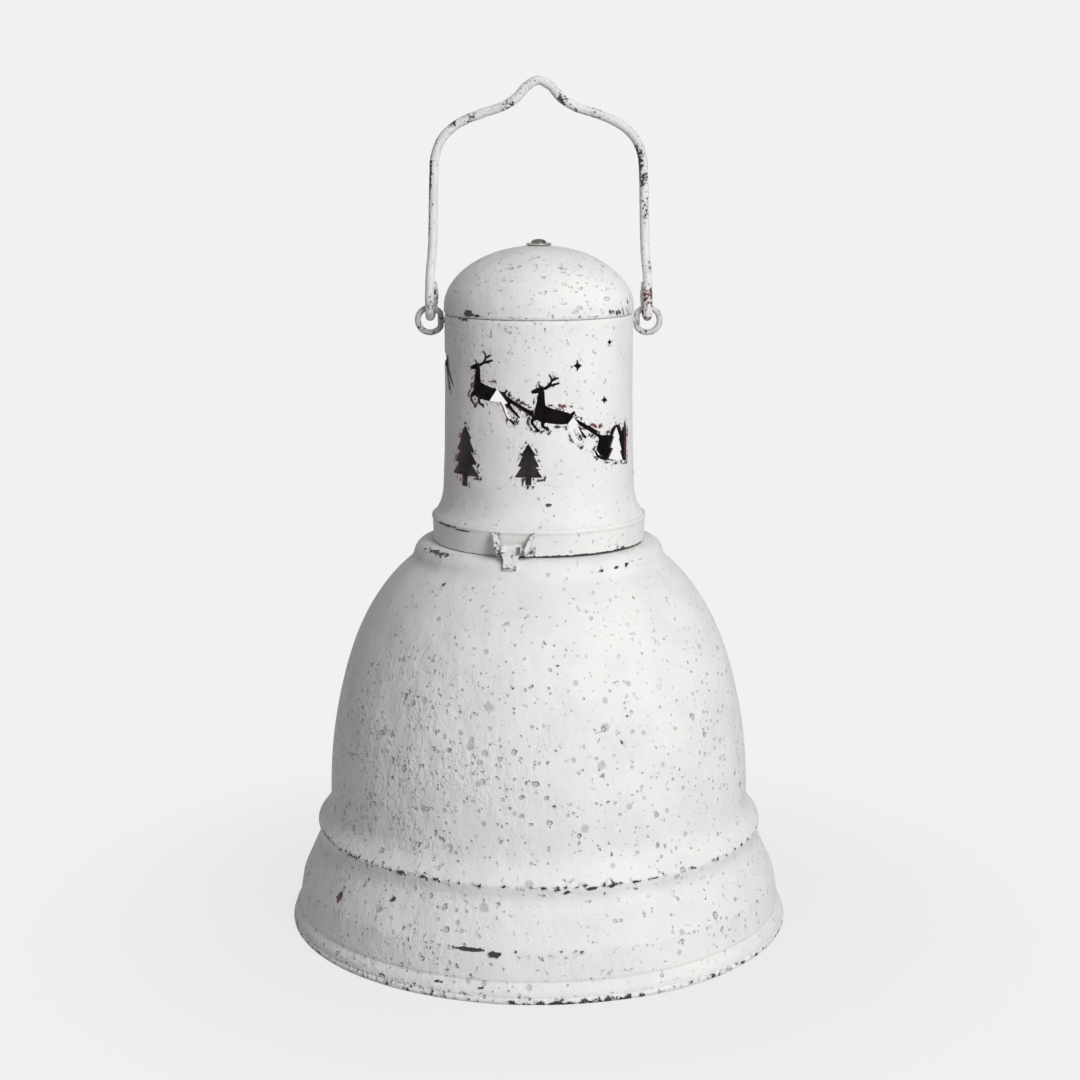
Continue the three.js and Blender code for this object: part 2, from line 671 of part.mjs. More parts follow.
// Bail: hook, leg, bow and peak of one half, then the same points mirrored
function bailHalf() {
  const points = [[EYE_REACH, HOOK_R, BAIL_AXIS_Z + HOOK_RETURN], [EYE_REACH, HOOK_R, BAIL_AXIS_Z + 4]];
  for (let degrees = 0; degrees <= 180; degrees += 30) {
    const angle = THREE.MathUtils.degToRad(degrees);
    points.push([EYE_REACH, HOOK_R * Math.cos(angle), BAIL_AXIS_Z - HOOK_R * Math.sin(angle)]);
  }
  const leg = [[1.9, -0.15, 0.92], [1.6, -0.7, 0.45], [1, -1.6, 0.1]];
  leg.forEach(([spread, drop, lean], i) => {
    points.push([
      BAIL_HALF_WIDTH + spread + drop * 0.1, -HOOK_R * lean, BAIL_AXIS_Z + 3 + (i + 0.6) * 7.5,
    ]);
  });
  const bow = [
    [1, 0.585], [0.984, 0.675], [0.91, 0.753], [0.765, 0.812], [0.545, 0.856], [0.345, 0.886],
    [0.21, 0.925], [0.115, 0.974],
  ];
  bow.forEach(([across, up]) => points.push([BAIL_HALF_WIDTH * across, 0, BAIL_AXIS_Z + BAIL_HEIGHT * up]));
  return points;
}

function bail() {
  const half = bailHalf();
  const peak = [0, 0, BAIL_AXIS_Z + BAIL_HEIGHT];
  const other = half.map(([x, y, z]) => [-x, y, z]).reverse();
  const vectors = [...half, peak, ...other].map((point) => new THREE.Vector3(...point));
  const path = new THREE.CatmullRomCurve3(vectors, false, 'centripetal');
  const section = new THREE.Shape();
  section.absarc(0, 0, BAIL_WIRE_R, 0, Math.PI * 2, false);
  const options = { steps: BAIL_STEPS, extrudePath: path, curveSegments: BAIL_SIDES / 2, bevelEnabled: false };
  return toSolid(new THREE.ExtrudeGeometry(section, options));
}

// Hinge
function pinCentre() {
  return [PIN_REACH, HEAD_Z + PIN_UP];
}

function hingeEar(side) {
  const [r, z] = [PIN_REACH, PIN_UP];
  const root = BAND_R - 2;
  const nose = arc([r, z], [KNUCKLE_R, KNUCKLE_R], 40, -110, 8);
  const shape = outline([[root, EAR_TOP], [BAND_R + 1.6, EAR_TOP - 0.2], ...nose, [root, z - KNUCKLE_R * 0.6]]);
  shape.holes.push(pinHole(r, z));
  const ear = pushAcross(shape, HINGE_AZIMUTH, (side * EAR_SPACING) / 2, EAR_SHEET);
  return ear.subtract(disc(BAND_R + BAND_LIP + GAP, -2, EAR_TOP + 2));
}

function pinHole(r, z) {
  const hole = new THREE.Path();
  hole.absarc(r, z, PIN_R + RUNNING, 0, Math.PI * 2, true);
  return hole;
}

function hingeLeaf() {
  const [r, z] = pinCentre();
  const knuckle = new THREE.Shape();
  knuckle.absarc(r, z, KNUCKLE_R, 0, Math.PI * 2, false);
  knuckle.holes.push(pinHole(r, z));
  const outR = r + KNUCKLE_R;
  const footR = outR + LEAF_FOOT * 0.55;
  const arm = outline([
    [outR - LEAF_SHEET, z - 0.4],
    [outR - LEAF_SHEET, shoulderZ(outR - LEAF_SHEET, GAP)],
    [outR + 0.3, shoulderZ(outR + 0.3, GAP)],
    [footR, shoulderZ(footR, GAP)],
    [footR + 0.5, shoulderZ(footR, GAP) + 0.7],
    [outR + LEAF_SHEET * 0.7, shoulderZ(outR, GAP) + LEAF_SHEET * 1.4],
    [outR, z - 0.4],
  ]);
  const place = (shape) => pushAcross(shape, HINGE_AZIMUTH, LEAF_SHIFT, LEAF_WIDTH, 8);
  const clear = bar(...pinEnds(0), PIN_R + RUNNING);
  return place(knuckle).add(place(arm)).subtract(clear);
}

function pinEnds(extra) {
  const [r, z] = pinCentre();
  const { out, across } = frameAt(HINGE_AZIMUTH);
  const half = EAR_SPACING / 2 + EAR_SHEET / 2 + GAP + PIN_HEAD + extra;
  return [-half, half].map((distance) => (
    out.clone().multiplyScalar(r).addScaledVector(across, distance).setZ(z).toArray()
  ));
}

function hingePin() {
  const [from, to] = pinEnds(0).map((end) => new THREE.Vector3(...end));
  const along = to.clone().sub(from).normalize();
  const headAt = (end, step) => bar(end.toArray(), end.clone().addScaledVector(along, step).toArray(), PIN_HEAD_R);
  return join([
    bar(from.toArray(), to.toArray(), PIN_R),
    headAt(from, PIN_HEAD),
    headAt(to, -PIN_HEAD),
  ]);
}

// Catch spring and its rivet, opposite the hinge
function catchSpring() {
  const outerR = Math.sqrt((BAND_R - HEAD_SHEET) ** 2 - (CATCH_WIDTH / 2) ** 2) - GAP;
  const middle = BAND_HEIGHT * 0.62;
  const low = middle - CATCH_HEIGHT / 2 - 0.8;
  const high = middle + CATCH_HEIGHT / 2 - 0.8;
  const line = [[outerR, high], [outerR, middle - 1.4], [outerR - CATCH_BULGE, low + 1.2], [outerR, low]];
  const inner = line.map(([r, z]) => [r - CATCH_SHEET, z]).reverse();
  const leaf = pushAcross(outline([...line, ...inner]), HINGE_AZIMUTH + 180, 0, CATCH_WIDTH);
  const { out } = frameAt(HINGE_AZIMUTH + 180);
  const from = out.clone().multiplyScalar(BAND_R - 5).setZ(middle);
  const to = out.clone().multiplyScalar(BAND_R + 1).setZ(middle);
  return leaf.subtract(bar(from.toArray(), to.toArray(), CATCH_RIVET_R + GAP, 12));
}

function catchRivet() {
  const inside = Math.sqrt((BAND_R - HEAD_SHEET) ** 2 - (CATCH_WIDTH / 2) ** 2) - GAP - CATCH_SHEET;
  const body = revolve([
    [0, inside - 0.4], [CATCH_RIVET_R, inside - 0.4], [CATCH_RIVET_R, BAND_R + GAP],
    [CATCH_RIVET_HEAD_R, BAND_R + GAP],
    [CATCH_RIVET_HEAD_R * 0.7, BAND_R + GAP + CATCH_RIVET_HEAD * 0.8], [0, BAND_R + GAP + CATCH_RIVET_HEAD],
  ], 12);
  const geometry = toGeometry(body);
  const { out, across, up } = frameAt(HINGE_AZIMUTH + 180);
  const place = new THREE.Matrix4().makeBasis(across, up, out);
  place.setPosition(up.clone().multiplyScalar(BAND_HEIGHT * 0.62));
  geometry.applyMatrix4(place);
  return toSolid(geometry);
}

// Battery lamp, modelled from the tray's upper face
const FLOOR_Z = -LAMP_DROP;
const WELL_R = CELL_R + WELL_GAP;
const DOOR_Z = FLOOR_Z - GAP;
const CELL_Z = FLOOR_Z + LAMP_FLOOR + GAP;
const WELL_TOP = CELL_Z + CELL_COUNT * (CELL_HEIGHT + GAP) - GAP;
const SHELF_Z = WELL_TOP + 2.4;
const BOARD_Z = SHELF_Z + GAP;
const UPPER_R = LAMP_R - LAMP_WALL + 1.2;
const COVER_Z = LAMP_RISE + GAP;
const LENS_Z = COVER_Z + COVER_SHEET - LENS_FOOT_SHEET;

function lampHousing() {
  const wallR = LAMP_R - LAMP_WALL;
  const body = revolve([
    [WELL_R + GAP, FLOOR_Z],
    [LAMP_R, FLOOR_Z],
    [LAMP_R, 0],
    [LAMP_R + LAMP_FLANGE, 0],
    [LAMP_R + LAMP_FLANGE, LAMP_FLANGE_SHEET],
    [UPPER_R + LAMP_WALL, LAMP_FLANGE_SHEET],
    [UPPER_R + LAMP_WALL, LAMP_RISE],
    [UPPER_R, LAMP_RISE],
    [UPPER_R, SHELF_Z],
    [wallR, SHELF_Z],
    [wallR, FLOOR_Z + LAMP_FLOOR],
    [WELL_R + WELL_WALL, FLOOR_Z + LAMP_FLOOR],
    [WELL_R + WELL_WALL, WELL_TOP],
    [WELL_R + GAP, WELL_TOP],
  ], LAMP_ROUND);
  const slotWidth = SWITCH_WIDTH / 2 + GAP;
  const slotEnd = SWITCH_LENGTH / 2 + GAP;
  const slot = block(
    SWITCH_OFFSET - slotWidth, SWITCH_OFFSET + slotWidth, -slotEnd, slotEnd + SWITCH_TRAVEL,
    FLOOR_Z - 1, FLOOR_Z + LAMP_FLOOR + 1,
  );
  return body.subtract(slot);
}

function batteryDoor() {
  const top = FLOOR_Z + LAMP_FLOOR;
  const bottom = DOOR_Z - DOOR_LIP_SHEET;
  const body = revolve([[0, bottom], [WELL_R + DOOR_LIP, bottom], [WELL_R + DOOR_LIP, DOOR_Z], [WELL_R, DOOR_Z],
    [WELL_R, top], [0, top]], LAMP_ROUND);
  const slot = block(-WELL_R * 0.7, WELL_R * 0.7, -COIN_SLOT / 2, COIN_SLOT / 2, bottom - 1, bottom + 0.8);
  return body.subtract(slot);
}

function cell(number) {
  const bottom = CELL_Z + number * (CELL_HEIGHT + GAP);
  const edge = 0.4;
  return revolve([[0, bottom], [CELL_R - 1.5, bottom], [CELL_R, bottom + edge], [CELL_R, bottom + CELL_HEIGHT],
    [0, bottom + CELL_HEIGHT]], LAMP_ROUND);
}

// Spring contact: a flat on the upper cell with two feet that rise to the board
function batteryContact() {
  const low = WELL_TOP + GAP;
  const high = BOARD_Z - GAP;
  const t = CONTACT_SHEET;
  const lower = [[-12, high - t], [-9, high - t], [-6, low], [6, low], [9, high - t], [12, high - t]];
  const upper = lower.map(([x, z]) => [x, z + t]).reverse();
  return pushAcross(outline([...lower, ...upper]), 90, 0, CONTACT_WIDTH);
}

function circuitBoard() {
  return disc(UPPER_R - GAP, BOARD_Z, BOARD_Z + BOARD_SHEET, LAMP_ROUND);
}

function diode() {
  const bottom = BOARD_Z + BOARD_SHEET + GAP;
  const bodyTop = bottom + DIODE_HEIGHT;
  return revolve([
    [0, bottom], [DIODE_R + 0.4, bottom], [DIODE_R + 0.4, bottom + 1], [DIODE_R, bottom + 1],
    ...arc([0, bodyTop], [DIODE_R, DIODE_R], 0, 90, 4).map(([r, z]) => [Math.max(r, 0), z]).slice(0, 4),
    [0, bodyTop + DIODE_R],
  ], SMALL_ROUND);
}

function lampCover() {
  const boardTop = BOARD_Z + BOARD_SHEET + GAP;
  const outerR = UPPER_R + LAMP_WALL;
  const seatR = LENS_R + LENS_FOOT + GAP;
  const seatZ = LENS_Z - GAP;
  return revolve([
    [UPPER_R - GAP - SPIGOT_WALL, boardTop],
    [UPPER_R - GAP, boardTop],
    [UPPER_R - GAP, COVER_Z],
    [outerR, COVER_Z],
    [outerR, COVER_Z + COVER_SHEET],
    [seatR, COVER_Z + COVER_SHEET],
    [seatR, seatZ],
    [LENS_R - LENS_WALL, seatZ],
    [LENS_R - LENS_WALL, COVER_Z],
    [UPPER_R - GAP - SPIGOT_WALL, COVER_Z],
  ], LAMP_ROUND);
}

function lampLens() {
  const foot = LENS_Z;
  const rise = LENS_HEIGHT;
  const outer = arc([0, foot + LENS_FOOT_SHEET], [LENS_R, rise], 0, 90, 4);
  const inner = arc([0, foot + LENS_FOOT_SHEET], [LENS_R - LENS_WALL, rise - LENS_WALL], 0, 90, 3);
  const onAxis = ([r, z]) => [r < 1e-6 ? 0 : r, z];
  return revolve([
    ...inner.map(onAxis).reverse(),
    [LENS_R - LENS_WALL, foot],
    [LENS_R + LENS_FOOT, foot],
    [LENS_R + LENS_FOOT, foot + LENS_FOOT_SHEET],
    ...outer.map(onAxis),
  ], LAMP_ROUND);
}

function switchSlider() {
  const plateZ = FLOOR_Z + LAMP_FLOOR + GAP;
  const wide = SWITCH_WIDTH / 2;
  const long = SWITCH_LENGTH / 2;
  const plate = block(
    SWITCH_OFFSET - wide - 0.6, SWITCH_OFFSET + wide + 0.6, -long - 1, long + 1,
    plateZ, plateZ + SWITCH_PLATE_SHEET,
  );
  const stem = block(
    SWITCH_OFFSET - wide, SWITCH_OFFSET + wide, -long, long, FLOOR_Z - SWITCH_STICK_OUT, plateZ + 0.5,
  );
  return plate.add(stem);
}

// Assembly
function mesh(name, solid, material) {
  const geometry = toGeometry(solid);
  geometry.computeVertexNormals();
  const result = new THREE.Mesh(geometry, material);
  result.name = name;
  return result;
}

function bellGroup() {
  const bell = new THREE.Group();
  bell.add(mesh('bell_shade', bellShade(), paint));
  bell.add(mesh('neck_collar', drillForRivets(neckCollar()), wornPaint));
  bell.add(mesh('lamp_tray', drillForRivets(lampTray()), wornPaint));
  rivetPlaces().forEach(([x, y], i) => {
    const rivet = mesh(`tray_rivet_${i + 1}`, trayRivet(), steel);
    rivet.position.set(x, y, TRAY_Z);
    bell.add(rivet);
  });
  bell.add(mesh('hinge_leaf', hingeLeaf(), paint));
  bell.add(mesh('hinge_pin', hingePin(), darkSteel));
  return bell;
}

function lampGroup() {
  const lamp = new THREE.Group();
  lamp.position.z = LAMP_Z;
  lamp.add(mesh('lamp_housing', lampHousing(), blackPlastic));
  lamp.add(mesh('lamp_cover', lampCover(), blackPlastic));
  lamp.add(mesh('lamp_lens', lampLens(), frosted));
  lamp.add(mesh('lamp_diode', diode(), frosted));
  lamp.add(mesh('circuit_board', circuitBoard(), boardGreen));
  lamp.add(mesh('battery_contact', batteryContact(), steel));
  for (let i = 0; i < CELL_COUNT; i += 1) lamp.add(mesh(`battery_${i + 1}`, cell(i), steel));
  lamp.add(mesh('battery_door', batteryDoor(), blackPlastic));
  lamp.add(mesh('switch_slider', switchSlider(), blackPlastic));
  return lamp;
}

function headGroup() {
  const head = new THREE.Group();
  head.position.z = HEAD_Z;
  head.add(mesh('head_tube', headTube(), paint));
  head.add(mesh('head_band', headBand(), paint));
  head.add(mesh('dome_cap', domeCap(), paint));
  head.add(mesh('cap_strap', capStrap(), wornPaint));
  head.add(mesh('top_washer', ring(SCREW_R + GAP, WASHER_R, washerZ(), washerZ() + WASHER_HEIGHT, 24), darkSteel));
  head.add(mesh('top_screw', topScrew(), darkSteel));
  head.add(mesh('top_nut', topNut(), steel));
  head.add(mesh('hinge_ear_left', hingeEar(-1), paint));
  head.add(mesh('hinge_ear_right', hingeEar(1), paint));
  head.add(mesh('catch_spring', catchSpring(), steel));
  head.add(mesh('catch_rivet', catchRivet(), wornPaint));
  [['right', 0], ['left', Math.PI]].forEach(([side, turn]) => {
    const eye = mesh(`eye_${side}`, eyeRing(), wornPaint);
    const nut = mesh(`eye_nut_${side}`, eyeNut(), steel);
    eye.rotation.z = turn;
    nut.rotation.z = turn;
    head.add(eye, nut);
  });
  return head;
}

const lantern = new THREE.Group();
lantern.add(bellGroup(), lampGroup(), headGroup(), mesh('bail', bail(), wornPaint));

export default lantern;
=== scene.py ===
"""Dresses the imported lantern: turned shells, pierced drum, wire bail and chipped white paint."""

from __future__ import annotations

import logging
import math
from dataclasses import dataclass, field
from enum import Enum
from typing import Callable, Sequence

import bmesh
import bpy
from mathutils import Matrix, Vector, noise
from mathutils.kdtree import KDTree

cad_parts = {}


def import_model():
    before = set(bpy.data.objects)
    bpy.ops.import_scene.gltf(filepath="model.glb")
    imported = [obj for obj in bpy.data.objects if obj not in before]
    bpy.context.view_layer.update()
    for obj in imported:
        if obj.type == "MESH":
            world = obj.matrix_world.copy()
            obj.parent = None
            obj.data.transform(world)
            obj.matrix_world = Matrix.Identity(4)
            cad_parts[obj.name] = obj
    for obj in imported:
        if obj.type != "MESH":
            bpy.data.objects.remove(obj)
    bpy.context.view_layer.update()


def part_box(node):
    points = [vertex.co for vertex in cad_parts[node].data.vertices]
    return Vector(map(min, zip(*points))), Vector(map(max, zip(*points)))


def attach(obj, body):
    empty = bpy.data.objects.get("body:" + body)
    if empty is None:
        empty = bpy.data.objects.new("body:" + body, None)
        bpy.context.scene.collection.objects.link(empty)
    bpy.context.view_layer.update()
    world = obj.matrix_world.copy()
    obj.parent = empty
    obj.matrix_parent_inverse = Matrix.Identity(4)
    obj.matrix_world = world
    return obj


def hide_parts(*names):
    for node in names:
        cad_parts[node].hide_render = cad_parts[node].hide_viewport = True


LOG = logging.getLogger("lantern")
MM = 0.001
WEAR = "wear"
PITTING = "pitting"
PRIMER = "primer"
# How quickly the stray of spun metal changes round the axis, and along it in each millimetre
STRAY_ROUND = 2.2
STRAY_UP = 0.035
# Angle in degrees from which an edge of a CAD node counts as one to round
SHARP_EDGE = 38
# Radius in millimetres below which a point of a section counts as on the axis
ON_AXIS = 1e-6

Point = tuple[float, float]
Place = tuple[float, float, float]
Colour = tuple[float, float, float]


class Face(Enum):
    """Which finish slot a face of a shell takes."""

    OUTSIDE = 0
    INSIDE = 1
    CUT = 2


# Lines and outlines, in millimetres


def arc(centre: Point, radii: Point, start: float, end: float, steps: int) -> list[Point]:
    """Points along part of an ellipse.

    Args:
        centre: Middle of the ellipse.
        radii: Half sizes along both directions.
        start: First angle in degrees.
        end: Last angle in degrees.
        steps: Number of stretches between the points.

    Returns:
        The points, first to last.
    """
    (x, y), (wide, tall) = centre, radii
    angles = [math.radians(start + (end - start) * i / steps) for i in range(steps + 1)]
    return [(x + wide * math.cos(a), y + tall * math.sin(a)) for a in angles]


def bezier(controls: Sequence[Point], steps: int) -> list[Point]:
    """Points along a quadratic or cubic curve.

    Args:
        controls: Three or four control points.
        steps: Number of stretches between the points.

    Returns:
        The points, first to last.
    """
    line = []
    for i in range(steps + 1):
        t = i / steps
        level = [Vector(p) for p in controls]
        while len(level) > 1:
            level = [a.lerp(b, t) for a, b in zip(level, level[1:])]
        line.append((level[0].x, level[0].y))
    return line


def rounded(points: Sequence[Point], radii: Sequence[float], steps: int = 6) -> list[Point]:
    """Rounds the corners of an open line.

    Args:
        points: Corners of the line.
        radii: How far each corner is cut back along its sides, 0 for a sharp one.
        steps: Number of stretches in each rounded corner.

    Returns:
        The line with its corners rounded.
    """
    line: list[Point] = []
    for i, corner in enumerate(points):
        if radii[i] == 0 or i in (0, len(points) - 1):
            line.append(corner)
            continue
        here, before, after = Vector(corner), Vector(points[i - 1]), Vector(points[i + 1])
        back = min(radii[i], (before - here).length * 0.45)
        on = min(radii[i], (after - here).length * 0.45)
        start = here + (before - here).normalized() * back
        end = here + (after - here).normalized() * on
        line += bezier([tuple(start), corner, tuple(end)], steps)
    return line


def filled_in(points: Sequence[Point], spacing: float) -> list[Point]:
    """Adds points to a line so that none lie further apart than the spacing.

    Args:
        points: The line.
        spacing: Largest distance between neighbours.

    Returns:
        The longer list of points.
    """
    line = [points[0]]
    for a, b in zip(points, points[1:]):
        count = max(1, math.ceil(math.dist(a, b) / spacing))
        line += [tuple(Vector(a).lerp(Vector(b), (i + 1) / count)) for i in range(count)]
    return line


def inset(points: Sequence[Point], thickness: float) -> list[Point]:
    """Moves a line sideways by a sheet's thickness, to its left.

    Args:
        points: The sheet's outer line, from the bottom up.
        thickness: How far to move it.

    Returns:
        The sheet's inner line, in the same order.
    """
    line = []
    for i, point in enumerate(points):
        before, after = points[max(i - 1, 0)], points[min(i + 1, len(points) - 1)]
        run = Vector((after[0] - before[0], after[1] - before[1])).normalized()
        line.append((point[0] - run.y * thickness, point[1] + run.x * thickness))
    return line


def through(points: Sequence[Sequence[float]], steps: int, closed: bool = False) -> list[Vector]:
    """A smooth curve through points.

    Args:
        points: Points in two or three dimensions.
        steps: Number of stretches between one point and the next.
        closed: Whether the last point leads back to the first.

    Returns:
        Points along the curve.
    """
    knots = [Vector(p) for p in points]
    count = len(knots)

    def knot(i: int) -> Vector:
        """A knot by number, carried on past the ends of an open curve."""
        if closed:
            return knots[i % count]
        if i < 0:
            return knots[0] * 2 - knots[1]
        if i >= count:
            return knots[-1] * 2 - knots[-2]
        return knots[i]

    line = []
    for i in range(count if closed else count - 1):
        p = [knot(i + k) for k in (-1, 0, 1, 2)]
        times = [0.0]
        for a, b in zip(p, p[1:]):
            times.append(times[-1] + max(math.sqrt((b - a).length), 1e-6))
        for step in range(steps):
            t = times[1] + (times[2] - times[1]) * step / steps
            level, width = list(p), 1
            while len(level) > 1:
                level = [
                    a * ((times[k + width] - t) / (times[k + width] - times[k]))
                    + b * ((t - times[k]) / (times[k + width] - times[k]))
                    for k, (a, b) in enumerate(zip(level, level[1:]))
                ]
                if len(level) == 2:
                    start, end = times[1], times[2]
                    before, after = (end - t) / (end - start), (t - start) / (end - start)
                    level = [level[0] * before + level[1] * after]
                width += 1
            line.append(level[0])
    if not closed:
        line.append(knots[-1])
    return line


def at_azimuth(azimuth: float) -> tuple[Vector, Vector]:
    """Directions at an azimuth that counts from the front towards the right.

    Args:
        azimuth: Degrees from the front.

    Returns:
        The outward direction and the direction across it.
    """
    a = math.radians(azimuth)
    return Vector((math.sin(a), -math.cos(a), 0)), Vector((math.cos(a), math.sin(a), 0))


def azimuth_of(point: Vector) -> float:
    """The azimuth of a point in degrees, from the front towards the right."""
    return math.degrees(math.atan2(point.x, -point.y))


def radius_on(line: Sequence[Point], height: float) -> float:
    """The radius of a section's line at a height, or at its nearer end when the height is past it.

    Args:
        line: Radius and height of each point, from the bottom up.
        height: The height.

    Returns:
        The radius.
    """
    for a, b in zip(line, line[1:]):
        if a[1] <= height <= b[1] and b[1] > a[1]:
            return a[0] + (b[0] - a[0]) * (height - a[1]) / (b[1] - a[1])
    return line[-1][0] if height > line[-1][1] else line[0][0]


def on_shell(azimuth: float, radius: float, height: float) -> Vector:
    """A point in metres, from its azimuth and its radius and height in millimetres."""
    out = at_azimuth(azimuth)[0]
    return Vector((out.x * radius, out.y * radius, height)) * MM


# Where paint is worn


@dataclass(frozen=True)
class WornRing:
    """A band of wear round a turned piece, stronger towards one azimuth."""

    radius: float
    height: float
    reach: float
    amount: float
    towards: float = 0.0
    spread: float = 720.0

    def at(self, radius: float, azimuth: float, height: float) -> float:
        """The wear at a point given by radius, azimuth and height."""
        away = math.hypot(radius - self.radius, height - self.height) / self.reach
        if away >= 1:
            return 0.0
        turn = (azimuth - self.towards + 180) % 360 - 180
        return self.amount * (1 - away) * math.exp(-((turn / self.spread) ** 2))


@dataclass(frozen=True)
class WornPatch:
    """A patch of wear on a turned piece, with half sizes along and up."""

    azimuth: float
    height: float
    along: float
    up: float
    amount: float

    def at(self, radius: float, azimuth: float, height: float) -> float:
        """The wear at a point given by radius, azimuth and height."""
        turn = (azimuth - self.azimuth + 180) % 360 - 180
        across = math.radians(turn) * radius / self.along
        away = math.hypot(across, (height - self.height) / self.up)
        return self.amount * max(0.0, 1 - away**3)


@dataclass(frozen=True)
class WornSpot:
    """A ball of wear round a point, in millimetres."""

    centre: Place
    reach: float
    amount: float
    tall: float = 1.0

    def near(self, point: Vector) -> float:
        """The wear at a point in millimetres."""
        offset = point - Vector(self.centre)
        offset.z /= self.tall
        away = offset.length / self.reach
        return self.amount * max(0.0, 1 - away * away)


def mark(piece: bpy.types.Object, name: str, rule: Callable[[Vector], float]) -> None:
    """Stores a value on each vertex of a piece.

    Args:
        piece: The mesh object.
        name: Name of the attribute.
        rule: Gives the value for a point in millimetres.
    """
    mesh = piece.data
    layer = mesh.attributes.get(name) or mesh.attributes.new(name, "FLOAT", "POINT")
    layer.data.foreach_set("value", [rule(v.co / MM) for v in mesh.vertices])


def turned_rule(
    marks: Sequence[WornRing | WornPatch], base: float = 0.0
) -> Callable[[Vector], float]:
    """A rule for the strongest of several bands and patches.

    Args:
        marks: The bands and patches.
        base: The value away from all of them.

    Returns:
        A rule for points in millimetres.
    """

    def rule(point: Vector) -> float:
        """The strongest mark at a point."""
        radius, azimuth = math.hypot(point.x, point.y), azimuth_of(point)
        return max([base, *(m.at(radius, azimuth, point.z) for m in marks)])

    return rule


# Mesh helpers


def new_piece(name: str, mesh: bpy.types.Mesh) -> bpy.types.Object:
    """Puts a mesh into the scene as an object at the origin."""
    piece = bpy.data.objects.new(name, mesh)
    bpy.context.scene.collection.objects.link(piece)
    return piece


def shade(mesh: bpy.types.Mesh, sharpest: float = 35.0) -> None:
    """Smooths a mesh and keeps its sharp edges.

    Args:
        mesh: The mesh.
        sharpest: Largest angle in degrees that is shaded smooth.
    """
    work = bmesh.new()
    work.from_mesh(mesh)
    limit = math.radians(sharpest)
    for edge in work.edges:
        edge.smooth = len(edge.link_faces) != 2 or edge.calc_face_angle(0.0) < limit
    for face in work.faces:
        face.smooth = True
    work.to_mesh(mesh)
    work.free()


def turn_round(
    name: str,
    outside: Sequence[Point],
    inside: Sequence[Point] = (),
    segments: int = 256,
    wobble: float = 0.0,
) -> bpy.types.Object:
    """Turns a closed section round the upright axis.

    Args:
        name: Name of the piece.
        outside: Radius and height of the outer line, from the bottom up.
        inside: The same for the inner line, also from the bottom up.
        segments: Number of steps round the axis.
        wobble: How far the spun metal strays from round, in millimetres.

    Returns:
        The piece, with its outer and inner faces in separate slots.
    """
    section = [*outside, *reversed(inside)]
    rows: list[list[int]] = []
    places: list[Place] = []
    for radius, height in section:
        if radius < ON_AXIS:
            rows.append([len(places)] * segments)
            places.append((0.0, 0.0, height * MM))
            continue
        rows.append(list(range(len(places), len(places) + segments)))
        for j in range(segments):
            angle = 2 * math.pi * j / segments
            x, y = math.cos(angle), math.sin(angle)
            spot = Vector((x * STRAY_ROUND, y * STRAY_ROUND, height * STRAY_UP))
            reach = radius + wobble * noise.noise(spot)
            places.append((reach * x * MM, reach * y * MM, height * MM))
    faces, slots = [], []
    last = len(section) if inside or section[0][0] > ON_AXIS else len(section) - 1
    for i in range(last):
        low, high = rows[i], rows[(i + 1) % len(rows)]
        slot = Face.OUTSIDE if i < len(outside) - 1 else Face.INSIDE
        for j in range(segments):
            k = (j + 1) % segments
            corners = list(dict.fromkeys((low[j], low[k], high[k], high[j])))
            if len(corners) > 2:
                faces.append(corners)
                slots.append(slot.value)
    mesh = bpy.data.meshes.new(name)
    mesh.from_pydata(places, [], faces)
    mesh.polygons.foreach_set("material_index", slots)
    mesh.update()
    shade(mesh)
    return new_piece(name, mesh)


def softened(name: str, node: str, width: float, subdivide: int = 0) -> bpy.types.Object:
    """A copy of a CAD node with its edges rounded.

    Args:
        name: Name of the new piece.
        node: The CAD node.
        width: How far the edges are cut back, in millimetres.
        subdivide: Cuts on each edge before the rounding.

    Returns:
        The new piece, standing for the node.
    """
    mesh = bpy.data.objects[node].data.copy()
    mesh.name = name
    mesh.materials.clear()
    work = bmesh.new()
    work.from_mesh(mesh)
    bmesh.ops.remove_doubles(work, verts=work.verts, dist=1e-6)
    flat = math.radians(1.0)
    bmesh.ops.dissolve_limit(work, angle_limit=flat, verts=work.verts, edges=work.edges)
    least = math.radians(SHARP_EDGE)
    sharp = [e for e in work.edges if len(e.link_faces) == 2 and e.calc_face_angle(0.0) > least]
    bmesh.ops.bevel(
        work, geom=sharp, offset=width * MM, segments=3, profile=0.5, affect="EDGES",
        clamp_overlap=True,
    )
    if subdivide:
        bmesh.ops.triangulate(work, faces=work.faces)
        bmesh.ops.subdivide_edges(work, edges=work.edges, cuts=subdivide, use_grid_fill=True)
    work.to_mesh(mesh)
    work.free()
    for polygon in mesh.polygons:
        polygon.material_index = 0
    shade(mesh, 50.0)
    piece = new_piece(name, mesh)
    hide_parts(node)
    return piece


def lumpy(piece: bpy.types.Object, depth: float, size: float) -> None:
    """Moves each vertex along its normal, for the uneven thickness of paint.

    Args:
        piece: The mesh object.
        depth: Largest move in millimetres.
        size: Size of the lumps in millimetres.
    """
    moves = [v.normal * (depth * MM * noise.noise(v.co / (size * MM))) for v in piece.data.vertices]
    for vertex, move in zip(piece.data.vertices, moves):
        vertex.co += move
    piece.data.update()


def settled(piece: bpy.types.Object, modifier: bpy.types.Modifier) -> bpy.types.Mesh:
    """The mesh that a piece has with its modifier, which is then taken off.

    Args:
        piece: The object with the modifier.
        modifier: The modifier.

    Returns:
        The new mesh.
    """
    graph = bpy.context.evaluated_depsgraph_get()
    mesh = bpy.data.meshes.new_from_object(piece.evaluated_get(graph))
    piece.modifiers.remove(modifier)
    return mesh


